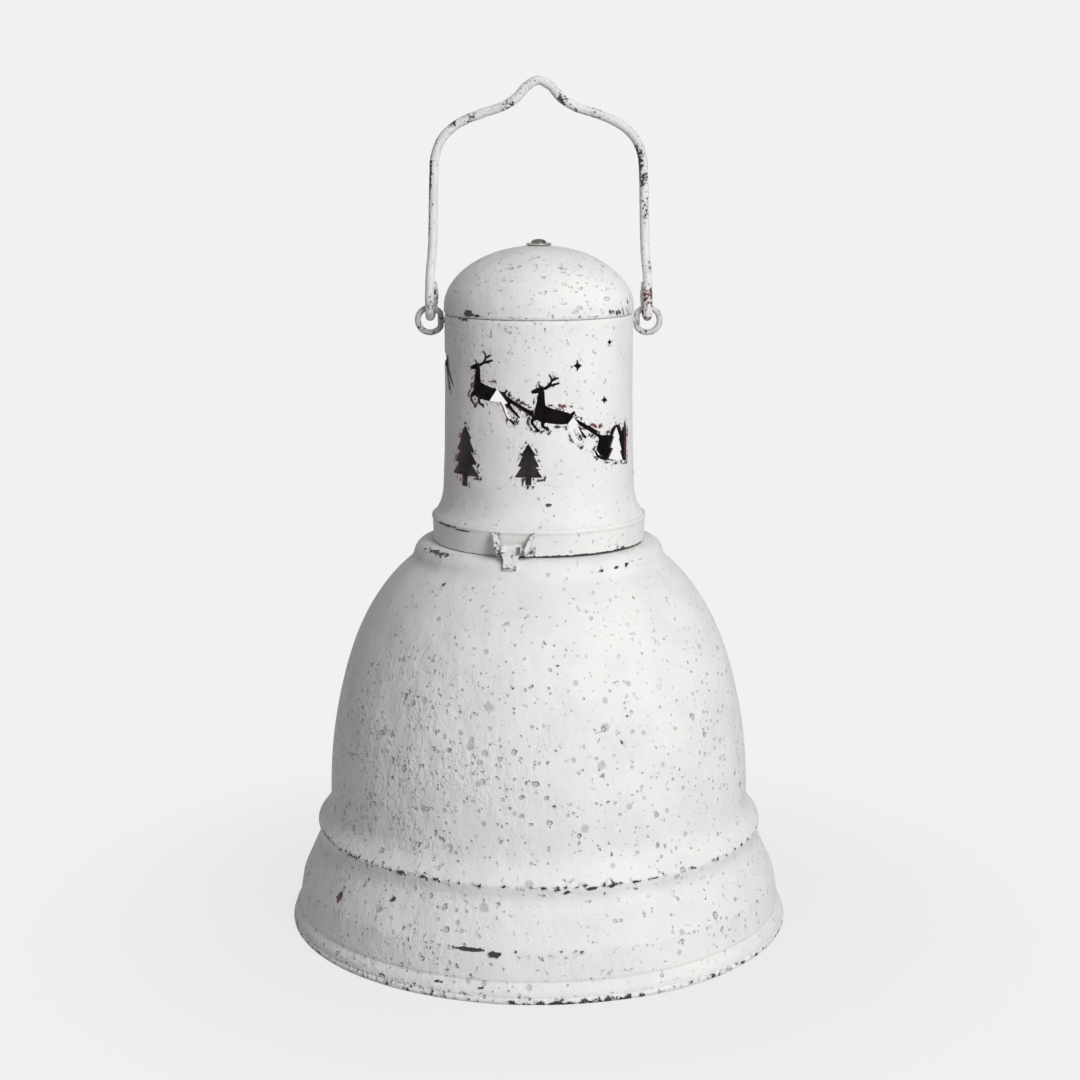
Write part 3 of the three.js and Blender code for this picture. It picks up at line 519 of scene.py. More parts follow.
def combine(piece: bpy.types.Object, tool: bpy.types.Object, operation: str) -> None:
    """Cuts a closed tool out of a piece or joins it on, and removes the tool.

    Args:
        piece: The piece that takes the new mesh.
        tool: The closed shape.
        operation: DIFFERENCE to cut and UNION to join.
    """
    step = piece.modifiers.new("combine", "BOOLEAN")
    step.operation, step.solver, step.object = operation, "MANIFOLD", tool
    piece.data = settled(piece, step)
    bpy.data.objects.remove(tool)


# Geometry node trees


def feed(tree: bpy.types.NodeTree, node: bpy.types.Node, inputs: dict[str | int, object]) -> None:
    """Links or sets inputs of a node.

    Args:
        tree: The node's tree.
        node: The node.
        inputs: A socket or a value for each named or numbered input.
    """
    for name, value in inputs.items():
        if isinstance(value, bpy.types.NodeSocket):
            tree.links.new(value, node.inputs[name])
        else:
            node.inputs[name].default_value = value


class Recipe:
    """A geometry node tree with named inputs, applied to an object as a plain mesh."""

    def __init__(self, name: str, inputs: dict[str, str]) -> None:
        """Starts the tree.

        Args:
            name: Name of the tree.
            inputs: Name and socket type of each input after the geometry.
        """
        self.tree = bpy.data.node_groups.new(name, "GeometryNodeTree")
        face = self.tree.interface
        face.new_socket(name="Geometry", in_out="INPUT", socket_type="NodeSocketGeometry")
        for label, kind in inputs.items():
            face.new_socket(name=label, in_out="INPUT", socket_type=kind)
        face.new_socket(name="Geometry", in_out="OUTPUT", socket_type="NodeSocketGeometry")
        self.start = self.tree.nodes.new("NodeGroupInput")
        self.end = self.tree.nodes.new("NodeGroupOutput")

    def add(self, kind: str, **links: object) -> bpy.types.Node:
        """Adds a node and feeds its inputs.

        Args:
            kind: The node's type.
            links: Input names with underscores for spaces, each with a socket or a value.

        Returns:
            The node.
        """
        node = self.tree.nodes.new(kind)
        feed(self.tree, node, {label.replace("_", " "): value for label, value in links.items()})
        return node

    def close(self, geometry: bpy.types.NodeSocket) -> None:
        """Ends the tree with real geometry, smooth faces and the material."""
        real = self.add("GeometryNodeRealizeInstances", Geometry=geometry)
        smooth = self.add("GeometryNodeSetShadeSmooth", Geometry=real.outputs[0])
        material = self.start.outputs["Material"]
        dressed = self.add("GeometryNodeSetMaterial", Geometry=smooth.outputs[0], Material=material)
        self.tree.links.new(dressed.outputs[0], self.end.inputs[0])

    def make(self, name: str, base: bpy.types.Mesh, values: dict[str, object]) -> bpy.types.Object:
        """Runs the tree on a mesh and returns the result as a plain mesh object.

        Args:
            name: Name of the piece.
            base: The mesh that goes in.
            values: A value for each named input.

        Returns:
            The finished piece.
        """
        holder = new_piece(name + "_base", base)
        modifier = holder.modifiers.new("recipe", "NODES")
        modifier.node_group = self.tree
        for item in self.tree.interface.items_tree:
            if item.item_type == "SOCKET" and item.in_out == "INPUT" and item.name in values:
                modifier[item.identifier] = values[item.name]
        bpy.context.view_layer.update()
        mesh = settled(holder, modifier)
        bpy.data.objects.remove(holder)
        mesh.name = name
        return new_piece(name, mesh)


def wire_recipe() -> Recipe:
    """A round wire that follows a line of edges."""
    recipe = Recipe(
        "wire_along_line",
        {"Radius": "NodeSocketFloat", "Sides": "NodeSocketInt", "Material": "NodeSocketMaterial"},
    )
    given, add = recipe.start.outputs, recipe.add
    line = add("GeometryNodeMeshToCurve", Mesh=given["Geometry"]).outputs[0]
    circle = "GeometryNodeCurvePrimitiveCircle"
    ring = add(circle, Resolution=given["Sides"], Radius=given["Radius"]).outputs[0]
    wire = add("GeometryNodeCurveToMesh", Curve=line, Profile_Curve=ring, Fill_Caps=True)
    recipe.close(wire.outputs[0])
    return recipe


def rivet_recipe() -> Recipe:
    """Copies of one rivet on a ring of points."""
    recipe = Recipe(
        "rivets_in_ring",
        {
            "Count": "NodeSocketInt",
            "Ring Radius": "NodeSocketFloat",
            "Height": "NodeSocketFloat",
            "First Angle": "NodeSocketFloat",
            "Material": "NodeSocketMaterial",
        },
    )
    given, add = recipe.start.outputs, recipe.add
    count, reach = given["Count"], given["Ring Radius"]
    ring = add("GeometryNodeMeshCircle", Vertices=count, Radius=reach).outputs[0]
    lift = add("ShaderNodeCombineXYZ", Z=given["Height"]).outputs[0]
    turn = add("ShaderNodeCombineXYZ", Z=given["First Angle"]).outputs[0]
    placed = add("GeometryNodeTransform", Geometry=ring, Translation=lift, Rotation=turn).outputs[0]
    copies = add("GeometryNodeInstanceOnPoints", Points=placed, Instance=given["Geometry"])
    recipe.close(copies.outputs[0])
    return recipe


def line_mesh(name: str, points: Sequence[Vector], closed: bool = False) -> bpy.types.Mesh:
    """A mesh of edges only, from points in millimetres."""
    mesh = bpy.data.meshes.new(name)
    edges = [(i, i + 1) for i in range(len(points) - 1)]
    if closed:
        edges.append((len(points) - 1, 0))
    mesh.from_pydata([tuple(p * MM) for p in points], edges, [])
    return mesh


# Shader graphs and groups


class Graph:
    """Places shader nodes in a tree and joins them."""

    def __init__(self, tree: bpy.types.NodeTree) -> None:
        """Works on the given tree."""
        self.tree = tree

    def node(
        self, kind: str, inputs: dict[str | int, object] | None = None, **settings: object
    ) -> bpy.types.Node:
        """Adds a node.

        Args:
            kind: The node's type.
            inputs: A socket or a value for each named or numbered input.
            settings: The node's own properties.

        Returns:
            The node.
        """
        made = self.tree.nodes.new(kind)
        for name, value in settings.items():
            setattr(made, name, value)
        feed(self.tree, made, inputs or {})
        return made

    def sum(self, operation: str, *values: object, clamp: bool = False) -> bpy.types.NodeSocket:
        """The result of one arithmetic step on sockets or numbers."""
        inputs = dict(enumerate(values))
        return self.node("ShaderNodeMath", inputs, operation=operation, use_clamp=clamp).outputs[0]

    def vector(self, operation: str, *values: object) -> bpy.types.NodeSocket:
        """The result of one vector step on sockets or vectors."""
        made = self.node("ShaderNodeVectorMath", dict(enumerate(values)), operation=operation)
        return made.outputs["Value" if operation in ("LENGTH", "DISTANCE") else "Vector"]

    def ramp(self, value: object, low: object, high: object) -> bpy.types.NodeSocket:
        """A smooth step from 0 at low to 1 at high."""
        inputs = {"Value": value, "From Min": low, "From Max": high}
        return self.node("ShaderNodeMapRange", inputs, interpolation_type="SMOOTHSTEP").outputs[0]

    def mix(self, factor: object, first: object, second: object) -> bpy.types.NodeSocket:
        """A colour between two colours."""
        ends = [(*v, 1.0) if isinstance(v, tuple) and len(v) == 3 else v for v in (first, second)]
        inputs = {0: factor, 6: ends[0], 7: ends[1]}
        return self.node("ShaderNodeMix", inputs, data_type="RGBA").outputs[2]

    def noise(
        self, vector: object, scale: object, detail: float = 2.0, rough: float = 0.5
    ) -> bpy.types.Node:
        """A noise texture node."""
        inputs = {"Vector": vector, "Scale": scale, "Detail": detail, "Roughness": rough}
        return self.node("ShaderNodeTexNoise", inputs)

    def attribute(self, name: str) -> bpy.types.NodeSocket:
        """The value stored on the mesh under a name."""
        return self.node("ShaderNodeAttribute", attribute_name=name).outputs["Fac"]

    def place(self) -> bpy.types.NodeSocket:
        """Object coordinates."""
        return self.node("ShaderNodeTexCoord").outputs["Object"]

    def group(self, tree: bpy.types.NodeTree, **inputs: object) -> bpy.types.Node:
        """Places a shared group with its own values."""
        named = {name.replace("_", " "): value for name, value in inputs.items()}
        return self.node("ShaderNodeGroup", named, node_tree=tree)

    def surface(
        self,
        shader: bpy.types.Node,
        colour: bpy.types.NodeSocket,
        rough: bpy.types.NodeSocket,
        height: bpy.types.NodeSocket,
        relief: float,
    ) -> None:
        """Feeds a shader's colour and roughness, and a bump as high as the relief in metres."""
        bump = self.node("ShaderNodeBump", {"Strength": 1.0, "Distance": relief, "Height": height})
        given = {"Base Color": colour, "Roughness": rough, "Normal": bump.outputs[0]}
        feed(self.tree, shader, given)

    def seen(self) -> bpy.types.NodeSocket:
        """1 for camera, glossy and transmission rays, and 0 for those that only light."""
        path = self.node("ShaderNodeLightPath").outputs
        direct = self.sum("MAXIMUM", path["Is Camera Ray"], path["Is Glossy Ray"])
        return self.sum("MAXIMUM", direct, path["Is Transmission Ray"])


class SharedGroup:
    """A shader node group with named inputs and outputs, built once."""

    def __init__(self, name: str, inputs: dict[str, str], outputs: dict[str, str]) -> None:
        """Starts the group.

        Args:
            name: Name of the group.
            inputs: Name and kind of each input, such as Float or Vector.
            outputs: The same for the outputs.
        """
        self.tree = bpy.data.node_groups.new(name, "ShaderNodeTree")
        for way, sockets in (("INPUT", inputs), ("OUTPUT", outputs)):
            for label, kind in sockets.items():
                socket_type = "NodeSocket" + kind
                self.tree.interface.new_socket(name=label, in_out=way, socket_type=socket_type)
        self.graph = Graph(self.tree)
        self.given = self.tree.nodes.new("NodeGroupInput").outputs
        self.result = self.tree.nodes.new("NodeGroupOutput").inputs

    def give(self, label: str, socket: bpy.types.NodeSocket) -> None:
        """Feeds one of the outputs."""
        self.tree.links.new(socket, self.result[label])


def chips_group() -> bpy.types.NodeTree:
    """Paint that has chipped off where the wear is high."""
    inputs = {"Vector": "Vector", "Wear": "Float", "Scale": "Float"}
    made = SharedGroup("paint_chips", inputs, {"Mask": "Float", "Lip": "Float"})
    g = made.graph
    grain = g.noise(made.given["Vector"], made.given["Scale"], 3.0, 0.55).outputs["Fac"]
    level = g.sum("ADD", grain, g.sum("MULTIPLY_ADD", made.given["Wear"], 0.42, 0.27))
    made.give("Mask", g.ramp(level, 0.995, 1.02))
    made.give("Lip", g.ramp(level, 0.9, 1.0))
    return made.tree


def pits_group() -> bpy.types.NodeTree:
    """Round shallow pits of many sizes, strewn at random."""
    inputs = {"Vector": "Vector", "Warp": "Vector"}
    inputs |= {"Scale": "Float", "Largest": "Float", "Coverage": "Float"}
    made = SharedGroup("paint_pits", inputs, {"Mask": "Float", "Depth": "Float"})
    g = made.graph
    scale = made.given["Scale"]
    shift = g.vector("SUBTRACT", made.given["Warp"], (0.5, 0.5, 0.5))
    reach = g.sum("DIVIDE", 0.42, scale)
    moved = g.node("ShaderNodeVectorMath", {0: shift, "Scale": reach}, operation="SCALE").outputs[0]
    warped = g.vector("ADD", made.given["Vector"], moved)
    cells = g.node("ShaderNodeTexVoronoi", {"Vector": warped, "Scale": scale})
    chance = g.node("ShaderNodeSeparateColor", {0: cells.outputs["Color"]})
    size = g.sum("MULTIPLY_ADD", g.sum("POWER", chance.outputs[0], 1.6), 0.62, 0.38)
    radius = g.sum("MULTIPLY", made.given["Largest"], size)
    inside = g.sum("SUBTRACT", radius, cells.outputs["Distance"])
    there = g.sum("LESS_THAN", chance.outputs[1], made.given["Coverage"])
    lip = g.sum("MULTIPLY", g.ramp(inside, -0.16, -0.03), 0.22)
    bowl = g.sum("SUBTRACT", g.ramp(inside, -0.04, 0.11), lip)
    made.give("Mask", g.sum("MULTIPLY", g.ramp(inside, 0.0, 0.05), there))
    made.give("Depth", g.sum("MULTIPLY", bowl, there))
    return made.tree


def crater_group() -> bpy.types.NodeTree:
    """One larger crater at a chosen place, with an uneven edge."""
    inputs = {"Vector": "Vector", "Centre": "Vector"}
    inputs |= {"Radius": "Float", "Ragged": "Float", "So Far": "Float"}
    made = SharedGroup("paint_crater", inputs, {"Depth": "Float"})
    g = made.graph
    distance = g.vector("DISTANCE", made.given["Vector"], made.given["Centre"])
    away = g.sum("DIVIDE", distance, made.given["Radius"])
    edge = g.sum("MULTIPLY_ADD", made.given["Ragged"], 0.9, away)
    made.give("Depth", g.sum("MAXIMUM", g.ramp(edge, 1.5, 0.95), made.given["So Far"]))
    return made.tree


def coat_group() -> bpy.types.NodeTree:
    """The unevenness of thick brushed paint: broad waves, orange peel and dribbles."""
    inputs = {"Vector": "Vector", "Roughness": "Float"}
    made = SharedGroup("paint_coat", inputs, {"Height": "Float", "Tone": "Float"})
    g = made.graph
    broad = g.noise(made.given["Vector"], 60.0, 2.0).outputs["Fac"]
    squeezed = g.vector("MULTIPLY", made.given["Vector"], (1.0, 1.0, 0.45))
    dribble = g.noise(squeezed, 300.0, 3.0, 0.6).outputs["Fac"]
    fine = g.noise(made.given["Vector"], 800.0, 2.0, 0.6).outputs["Fac"]
    relief = g.sum("MULTIPLY_ADD", dribble, 0.8, g.sum("MULTIPLY", fine, 0.4))
    rough = g.sum("MULTIPLY", relief, made.given["Roughness"])
    made.give("Height", g.sum("ADD", g.sum("MULTIPLY", broad, 1.4), rough))
    made.give("Tone", g.ramp(broad, 0.35, 0.75))
    return made.tree


class Groups:
    """The shared shader groups of the scene."""

    def __init__(self) -> None:
        """Builds each group once."""
        self.chips = chips_group()
        self.pits = pits_group()
        self.crater = crater_group()
        self.coat = coat_group()


# Finishes


def start_material(name: str) -> tuple[bpy.types.Material, Graph, bpy.types.Node]:
    """A new material, its graph and its Principled node."""
    material = bpy.data.materials.new(name)
    material.use_nodes = True
    graph = Graph(material.node_tree)
    shader = material.node_tree.nodes["Principled BSDF"]
    return material, graph, shader


@dataclass(frozen=True)
class ChippedPaint:
    """Matt white paint, pitted, uneven and chipped down to primer and steel."""

    name: str
    coat: Colour = (0.82, 0.815, 0.8)
    dull: Colour = (0.74, 0.735, 0.725)
    pit_floor: Colour = (0.4, 0.4, 0.41)
    steel: Colour = (0.045, 0.04, 0.038)
    primer: Colour = (0.15, 0.04, 0.055)
    chip_scale: float = 520.0
    relief: float = 0.003
    pit_scales: tuple[float, float, float] = (460.0, 240.0, 110.0)
    pit_sizes: tuple[float, float, float] = (0.38, 0.35, 0.22)
    pit_shares: tuple[float, float, float] = (0.85, 0.5, 0.22)
    coat_height: float = 0.3
    pit_depth: float = 0.3
    floor_depth: float = 0.07
    lip_height: float = 0.12
    chip_depth: float = 0.2
    stain: float = 0.6
    stretch: Place = (1.0, 1.0, 1.0)
    craters: tuple[tuple[Vector, float], ...] = ()

    def build(self, groups: Groups) -> bpy.types.Material:
        """Makes the material.

        Args:
            groups: The shared shader groups.

        Returns:
            The material.
        """
        material, g, shader = start_material(self.name)
        place = g.place()
        pitting = g.attribute(PITTING)
        uneven = g.sum("MULTIPLY_ADD", pitting, 0.9, 0.2)
        coat = g.group(groups.coat, Vector=place, Roughness=uneven)
        ragged = g.noise(place, 600.0, 1.0)
        drawn = g.vector("MULTIPLY", place, self.stretch)
        layers = [
            g.group(
                groups.pits, Vector=drawn, Warp=ragged.outputs["Color"], Scale=scale, Largest=size,
                Coverage=g.sum("MULTIPLY", pitting, share),
            ).outputs
            for scale, size, share in zip(self.pit_scales, self.pit_sizes, self.pit_shares)
        ]
        small, middle, large = layers
        depth = g.sum("MAXIMUM", small["Depth"], middle["Depth"])
        depth = g.sum("MAXIMUM", depth, large["Depth"])
        floor = g.sum("MAXIMUM", middle["Mask"], large["Mask"])
        edge = ragged.outputs["Fac"]
        for centre, size in self.craters:
            given = {"Vector": place, "Centre": centre, "Radius": size, "Ragged": edge}
            floor = g.group(groups.crater, **given, So_Far=floor).outputs["Depth"]
        stain = g.sum("MAXIMUM", floor, g.sum("MULTIPLY", small["Mask"], 0.6))
        chips = g.group(groups.chips, Vector=place, Wear=g.attribute(WEAR), Scale=self.chip_scale)
        chipped = chips.outputs["Mask"]
        patchy = g.noise(place, 380.0, 2.0).outputs["Fac"]
        reddish = g.sum("ADD", patchy, g.sum("MULTIPLY", g.attribute(PRIMER), 0.5))
        reddish = g.ramp(reddish, 0.66, 0.8)
        colour = g.mix(g.sum("MULTIPLY", coat.outputs["Tone"], 0.6), self.coat, self.dull)
        colour = g.mix(g.sum("MULTIPLY", stain, self.stain), colour, self.pit_floor)
        colour = g.mix(chipped, colour, g.mix(reddish, self.steel, self.primer))
        height = g.sum("MULTIPLY", coat.outputs["Height"], self.coat_height)
        for step, layer, amount in (
            ("SUBTRACT", depth, self.pit_depth),
            ("SUBTRACT", floor, self.floor_depth),
            ("ADD", chips.outputs["Lip"], self.lip_height),
            ("SUBTRACT", chipped, self.chip_depth),
        ):
            height = g.sum(step, height, g.sum("MULTIPLY", layer, amount))
        rough = g.sum("MULTIPLY_ADD", chipped, -0.15, 0.66)
        shader.inputs["Specular IOR Level"].default_value = 0.3
        g.surface(shader, colour, rough, height, self.relief)
        return material


@dataclass(frozen=True)
class PlainFinish:
    """A finish of one material whose tone and surface vary a little."""

    name: str
    colour: Colour
    second: Colour
    roughness: float
    metallic: float = 0.0
    grain: float = 400.0
    bump: float = 0.00003
    transmission: float = 0.0
    stretch: Place = (1.0, 1.0, 1.0)

    def build(self) -> bpy.types.Material:
        """Makes the material."""
        material, g, shader = start_material(self.name)
        place = g.vector("MULTIPLY", g.place(), self.stretch)
        patch = g.noise(place, self.grain * 0.2, 3.0).outputs["Fac"]
        fine = g.noise(place, self.grain, 4.0, 0.6).outputs["Fac"]
        tone = g.ramp(g.sum("MULTIPLY_ADD", fine, 0.4, g.sum("MULTIPLY", patch, 0.6)), 0.35, 0.65)
        colour = g.mix(tone, self.colour, self.second)
        rough = g.sum("MULTIPLY_ADD", fine, 0.2, self.roughness - 0.1)
        shader.inputs["Metallic"].default_value = self.metallic
        shader.inputs["Transmission Weight"].default_value = self.transmission
        g.surface(shader, colour, rough, fine, self.bump)
        return material


# How much wider the craters' uneven edges are drawn than their radius says
CRATER_SPREAD = 1.1

# Azimuth, height and radius of each larger crater of the bell
BELL_CRATERS = (
    (-14.1, 105.3, 2.1), (-18.6, 90.8, 1.6), (-18.2, 93.2, 1.4), (-14.5, 88.8, 1.4),
    (-15.6, 85.3, 1.2), (-10.4, 86.9, 1.1), (-16.0, 77.4, 1.5), (-14.6, 78.6, 1.3),
    (-21.5, 95.4, 1.1), (-33.9, 104.8, 1.5), (-46.8, 91.0, 2.0), (-45.4, 117.3, 1.2),
    (-36.5, 133.1, 1.1), (-16.7, 124.3, 1.1), (-30.9, 65.8, 1.6), (-47.6, 56.8, 1.3),
    (-23.0, 52.9, 1.4), (-25.6, 55.3, 1.2), (-14.2, 63.0, 1.2), (-6.2, 67.2, 1.0),
    (-2.3, 42.1, 2.0), (-13.2, 32.6, 2.0), (-55.0, 24.3, 2.3), (-40.8, 25.6, 1.5),
    (-47.5, 32.0, 1.2), (-19.1, 26.8, 1.0), (3.8, 149.8, 1.0), (10.6, 113.9, 1.2),
    (18.8, 107.1, 1.2), (18.3, 97.7, 1.6), (26.7, 112.0, 1.1), (16.5, 84.3, 1.7),
    (9.1, 86.6, 0.9), (11.6, 61.4, 1.8), (18.7, 46.8, 1.1), (41.1, 53.0, 1.3),
    (35.0, 63.7, 1.1), (34.1, 19.8, 1.4), (32.8, 12.9, 1.2), (34.5, 81.3, 1.0),
    (60.0, 118.9, 1.1), (35.5, 39.4, 1.5), (23.6, 67.8, 1.2), (-12.0, 6.6, 1.4),
    (-2.1, 6.2, 1.5), (-15.5, 7.0, 1.2),
)

# Azimuth, height, half length, half height and strength of each chip of the bell
BELL_CHIPS = (
    (-15.2, 18.7, 6.0, 0.8, 1.8), (-9.8, 17.7, 2.8, 0.95, 1.8), (-55.4, 24.0, 1.6, 2.6, 1.6),
    (-41.0, 25.0, 1.1, 1.6, 0.8), (-47.7, 31.6, 0.9, 1.1, 0.9), (-37.1, 30.3, 0.7, 0.7, 1.4),
    (-41.3, 144.1, 0.7, 0.8, 1.3), (-54.5, 103.9, 0.8, 1.1, 1.2), (-4.6, 3.6, 4.0, 0.55, 1.8),
    (-12.0, 5.4, 1.2, 0.5, 1.3), (-11.0, 3.6, 1.0, 0.7, 1.4), (-22.0, 5.8, 1.6, 0.6, 0.9),
    (43.1, 151.1, 0.9, 0.7, 1.4), (53.4, 151.8, 0.8, 0.6, 1.4), (36.8, 150.5, 0.8, 0.6, 1.2),
    (29.2, 149.9, 1.1, 0.6, 1.0), (47.0, 151.9, 1.4, 0.4, 0.9), (4.6, 40.2, 1.2, 0.5, 1.0),
    (6.8, 39.6, 0.7, 0.8, 1.4), (8.3, 40.5, 0.7, 0.6, 1.4), (13.0, 40.4, 2.4, 0.4, 1.0),
    (17.7, 40.6, 2.4, 0.6, 1.1), (24.0, 40.8, 1.6, 0.6, 1.1), (29.0, 41.0, 2.0, 0.4, 0.9),
    (35.7, 40.0, 1.2, 0.8, 0.8), (62.0, 41.2, 0.8, 0.8, 1.3),
)


class Finishes:
    """Every material of the lantern."""

    def __init__(self) -> None:
        """Builds the shared groups and the materials."""
        groups = Groups()
        bell = BellShade()
        craters = tuple(
            (on_shell(azimuth, bell.radius_at(height), height), size * CRATER_SPREAD * MM)
            for azimuth, height, size in BELL_CRATERS
        )
        self.bell_paint = ChippedPaint(
            "bell_paint", chip_scale=430.0, craters=craters
        ).build(groups)
        self.head_paint = ChippedPaint(
            "head_paint",
            chip_scale=620.0,
            relief=0.002,
            pit_scales=(620.0, 400.0, 200.0),
            stain=0.35,
        ).build(groups)
        self.cap_paint = ChippedPaint(
            "cap_paint",
            chip_scale=620.0,
            relief=0.002,
            pit_scales=(520.0, 330.0, 200.0),
            stain=0.2,
            stretch=(0.6, 0.6, 1.3),
        ).build(groups)
        self.wire_paint = ChippedPaint(
            "wire_paint",
            coat=(0.78, 0.775, 0.76),
            dull=(0.6, 0.59, 0.58),
            chip_scale=950.0,
            relief=0.0012,
        ).build(groups)
        self.ring_paint = ChippedPaint(
            "ring_paint",
            coat=(0.62, 0.615, 0.61),
            dull=(0.4, 0.39, 0.39),
            chip_scale=800.0,
            relief=0.001,
        ).build(groups)
        self.dark_primer = PlainFinish(
            "dark_primer", (0.022, 0.019, 0.018), (0.08, 0.06, 0.06), 0.7
        ).build()
        self.inner_coat = PlainFinish(
            "inner_coat", (0.14, 0.12, 0.11), (0.3, 0.27, 0.26), 0.7
        ).build()
        self.cut_edge = PlainFinish(
            "cut_edge", (0.03, 0.022, 0.022), (0.26, 0.11, 0.13), 0.6, grain=900.0
        ).build()
        self.dark_iron = PlainFinish(
            "dark_iron", (0.05, 0.05, 0.042), (0.17, 0.165, 0.14), 0.42, 0.8
        ).build()
        self.worn_iron = PlainFinish(
            "worn_iron", (0.2, 0.2, 0.18), (0.42, 0.42, 0.4), 0.45, 0.5
        ).build()
        self.steel = PlainFinish(
            "plain_steel", (0.5, 0.5, 0.49), (0.62, 0.62, 0.61), 0.32, 1.0
        ).build()
        self.spring_steel = PlainFinish(
            "spring_steel",
            (0.42, 0.42, 0.42),
            (0.55, 0.54, 0.52),
            0.28,
            1.0,
            stretch=(0.2, 0.2, 2.0),
        ).build()
        self.cell_metal = PlainFinish(
            "cell_metal", (0.58, 0.58, 0.57), (0.68, 0.68, 0.66), 0.25, 1.0
        ).build()
        self.black_plastic = PlainFinish(
            "black_plastic", (0.018, 0.018, 0.02), (0.028, 0.028, 0.03), 0.52, grain=2600.0
        ).build()
        self.board = PlainFinish(
            "board_green", (0.012, 0.09, 0.045), (0.02, 0.13, 0.06), 0.4
        ).build()
        self.lens = PlainFinish(
            "frosted_lens",
            (0.9, 0.88, 0.82),
            (0.93, 0.91, 0.86),
            0.5,
            grain=1800.0,
            transmission=0.55,
        ).build()
        self.diode = PlainFinish(
            "diode_body", (0.92, 0.86, 0.6), (0.95, 0.9, 0.72), 0.25, transmission=0.4
        ).build()


def dress(piece: bpy.types.Object, body: str, slot: str, *materials: bpy.types.Material) -> None:
    """Gives a piece its materials and body.

    Args:
        piece: The finished object.
        body: The CAD body that it rides on.
        slot: The record's material slot; not used.
        materials: One material for each face slot.
    """
    kept = [p.material_index for p in piece.data.polygons]
    piece.data.materials.clear()
    for material in materials:
        piece.data.materials.append(material)
    last = len(materials) - 1
    piece.data.polygons.foreach_set("material_index", [min(i, last) for i in kept])
    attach(piece, body)
    LOG.info("piece %s: %d faces on body %s", piece.name, len(piece.data.polygons), body)


def edged(
    name: str,
    node: str,
    width: float,
    ride: tuple[str, str],
    material: bpy.types.Material,
    worn: float | None = None,
    subdivide: int = 0,
) -> None:
    """Makes a softened copy of a CAD node and dresses it.

    Args:
        name: Name of the new piece.
        node: The CAD node.
        width: How far the edges are cut back, in millimetres.
        ride: The CAD body and the record's material slot.
        material: The piece's material.
        worn: An even wear of its paint, if it has any.
        subdivide: Cuts on each edge before the rounding.
    """
    piece = softened(name, node, width, subdivide)
    if worn is not None:
        mark(piece, WEAR, lambda p: worn)
    dress(piece, *ride, material)


def repaint(node: str, material: bpy.types.Material) -> None:
    """Gives a CAD node that stays as it is a new material."""
    carried = bpy.data.objects[node]
    for i in range(len(carried.material_slots)):
        carried.material_slots[i].material = material
    LOG.info("node %s repainted", node)


# Bell


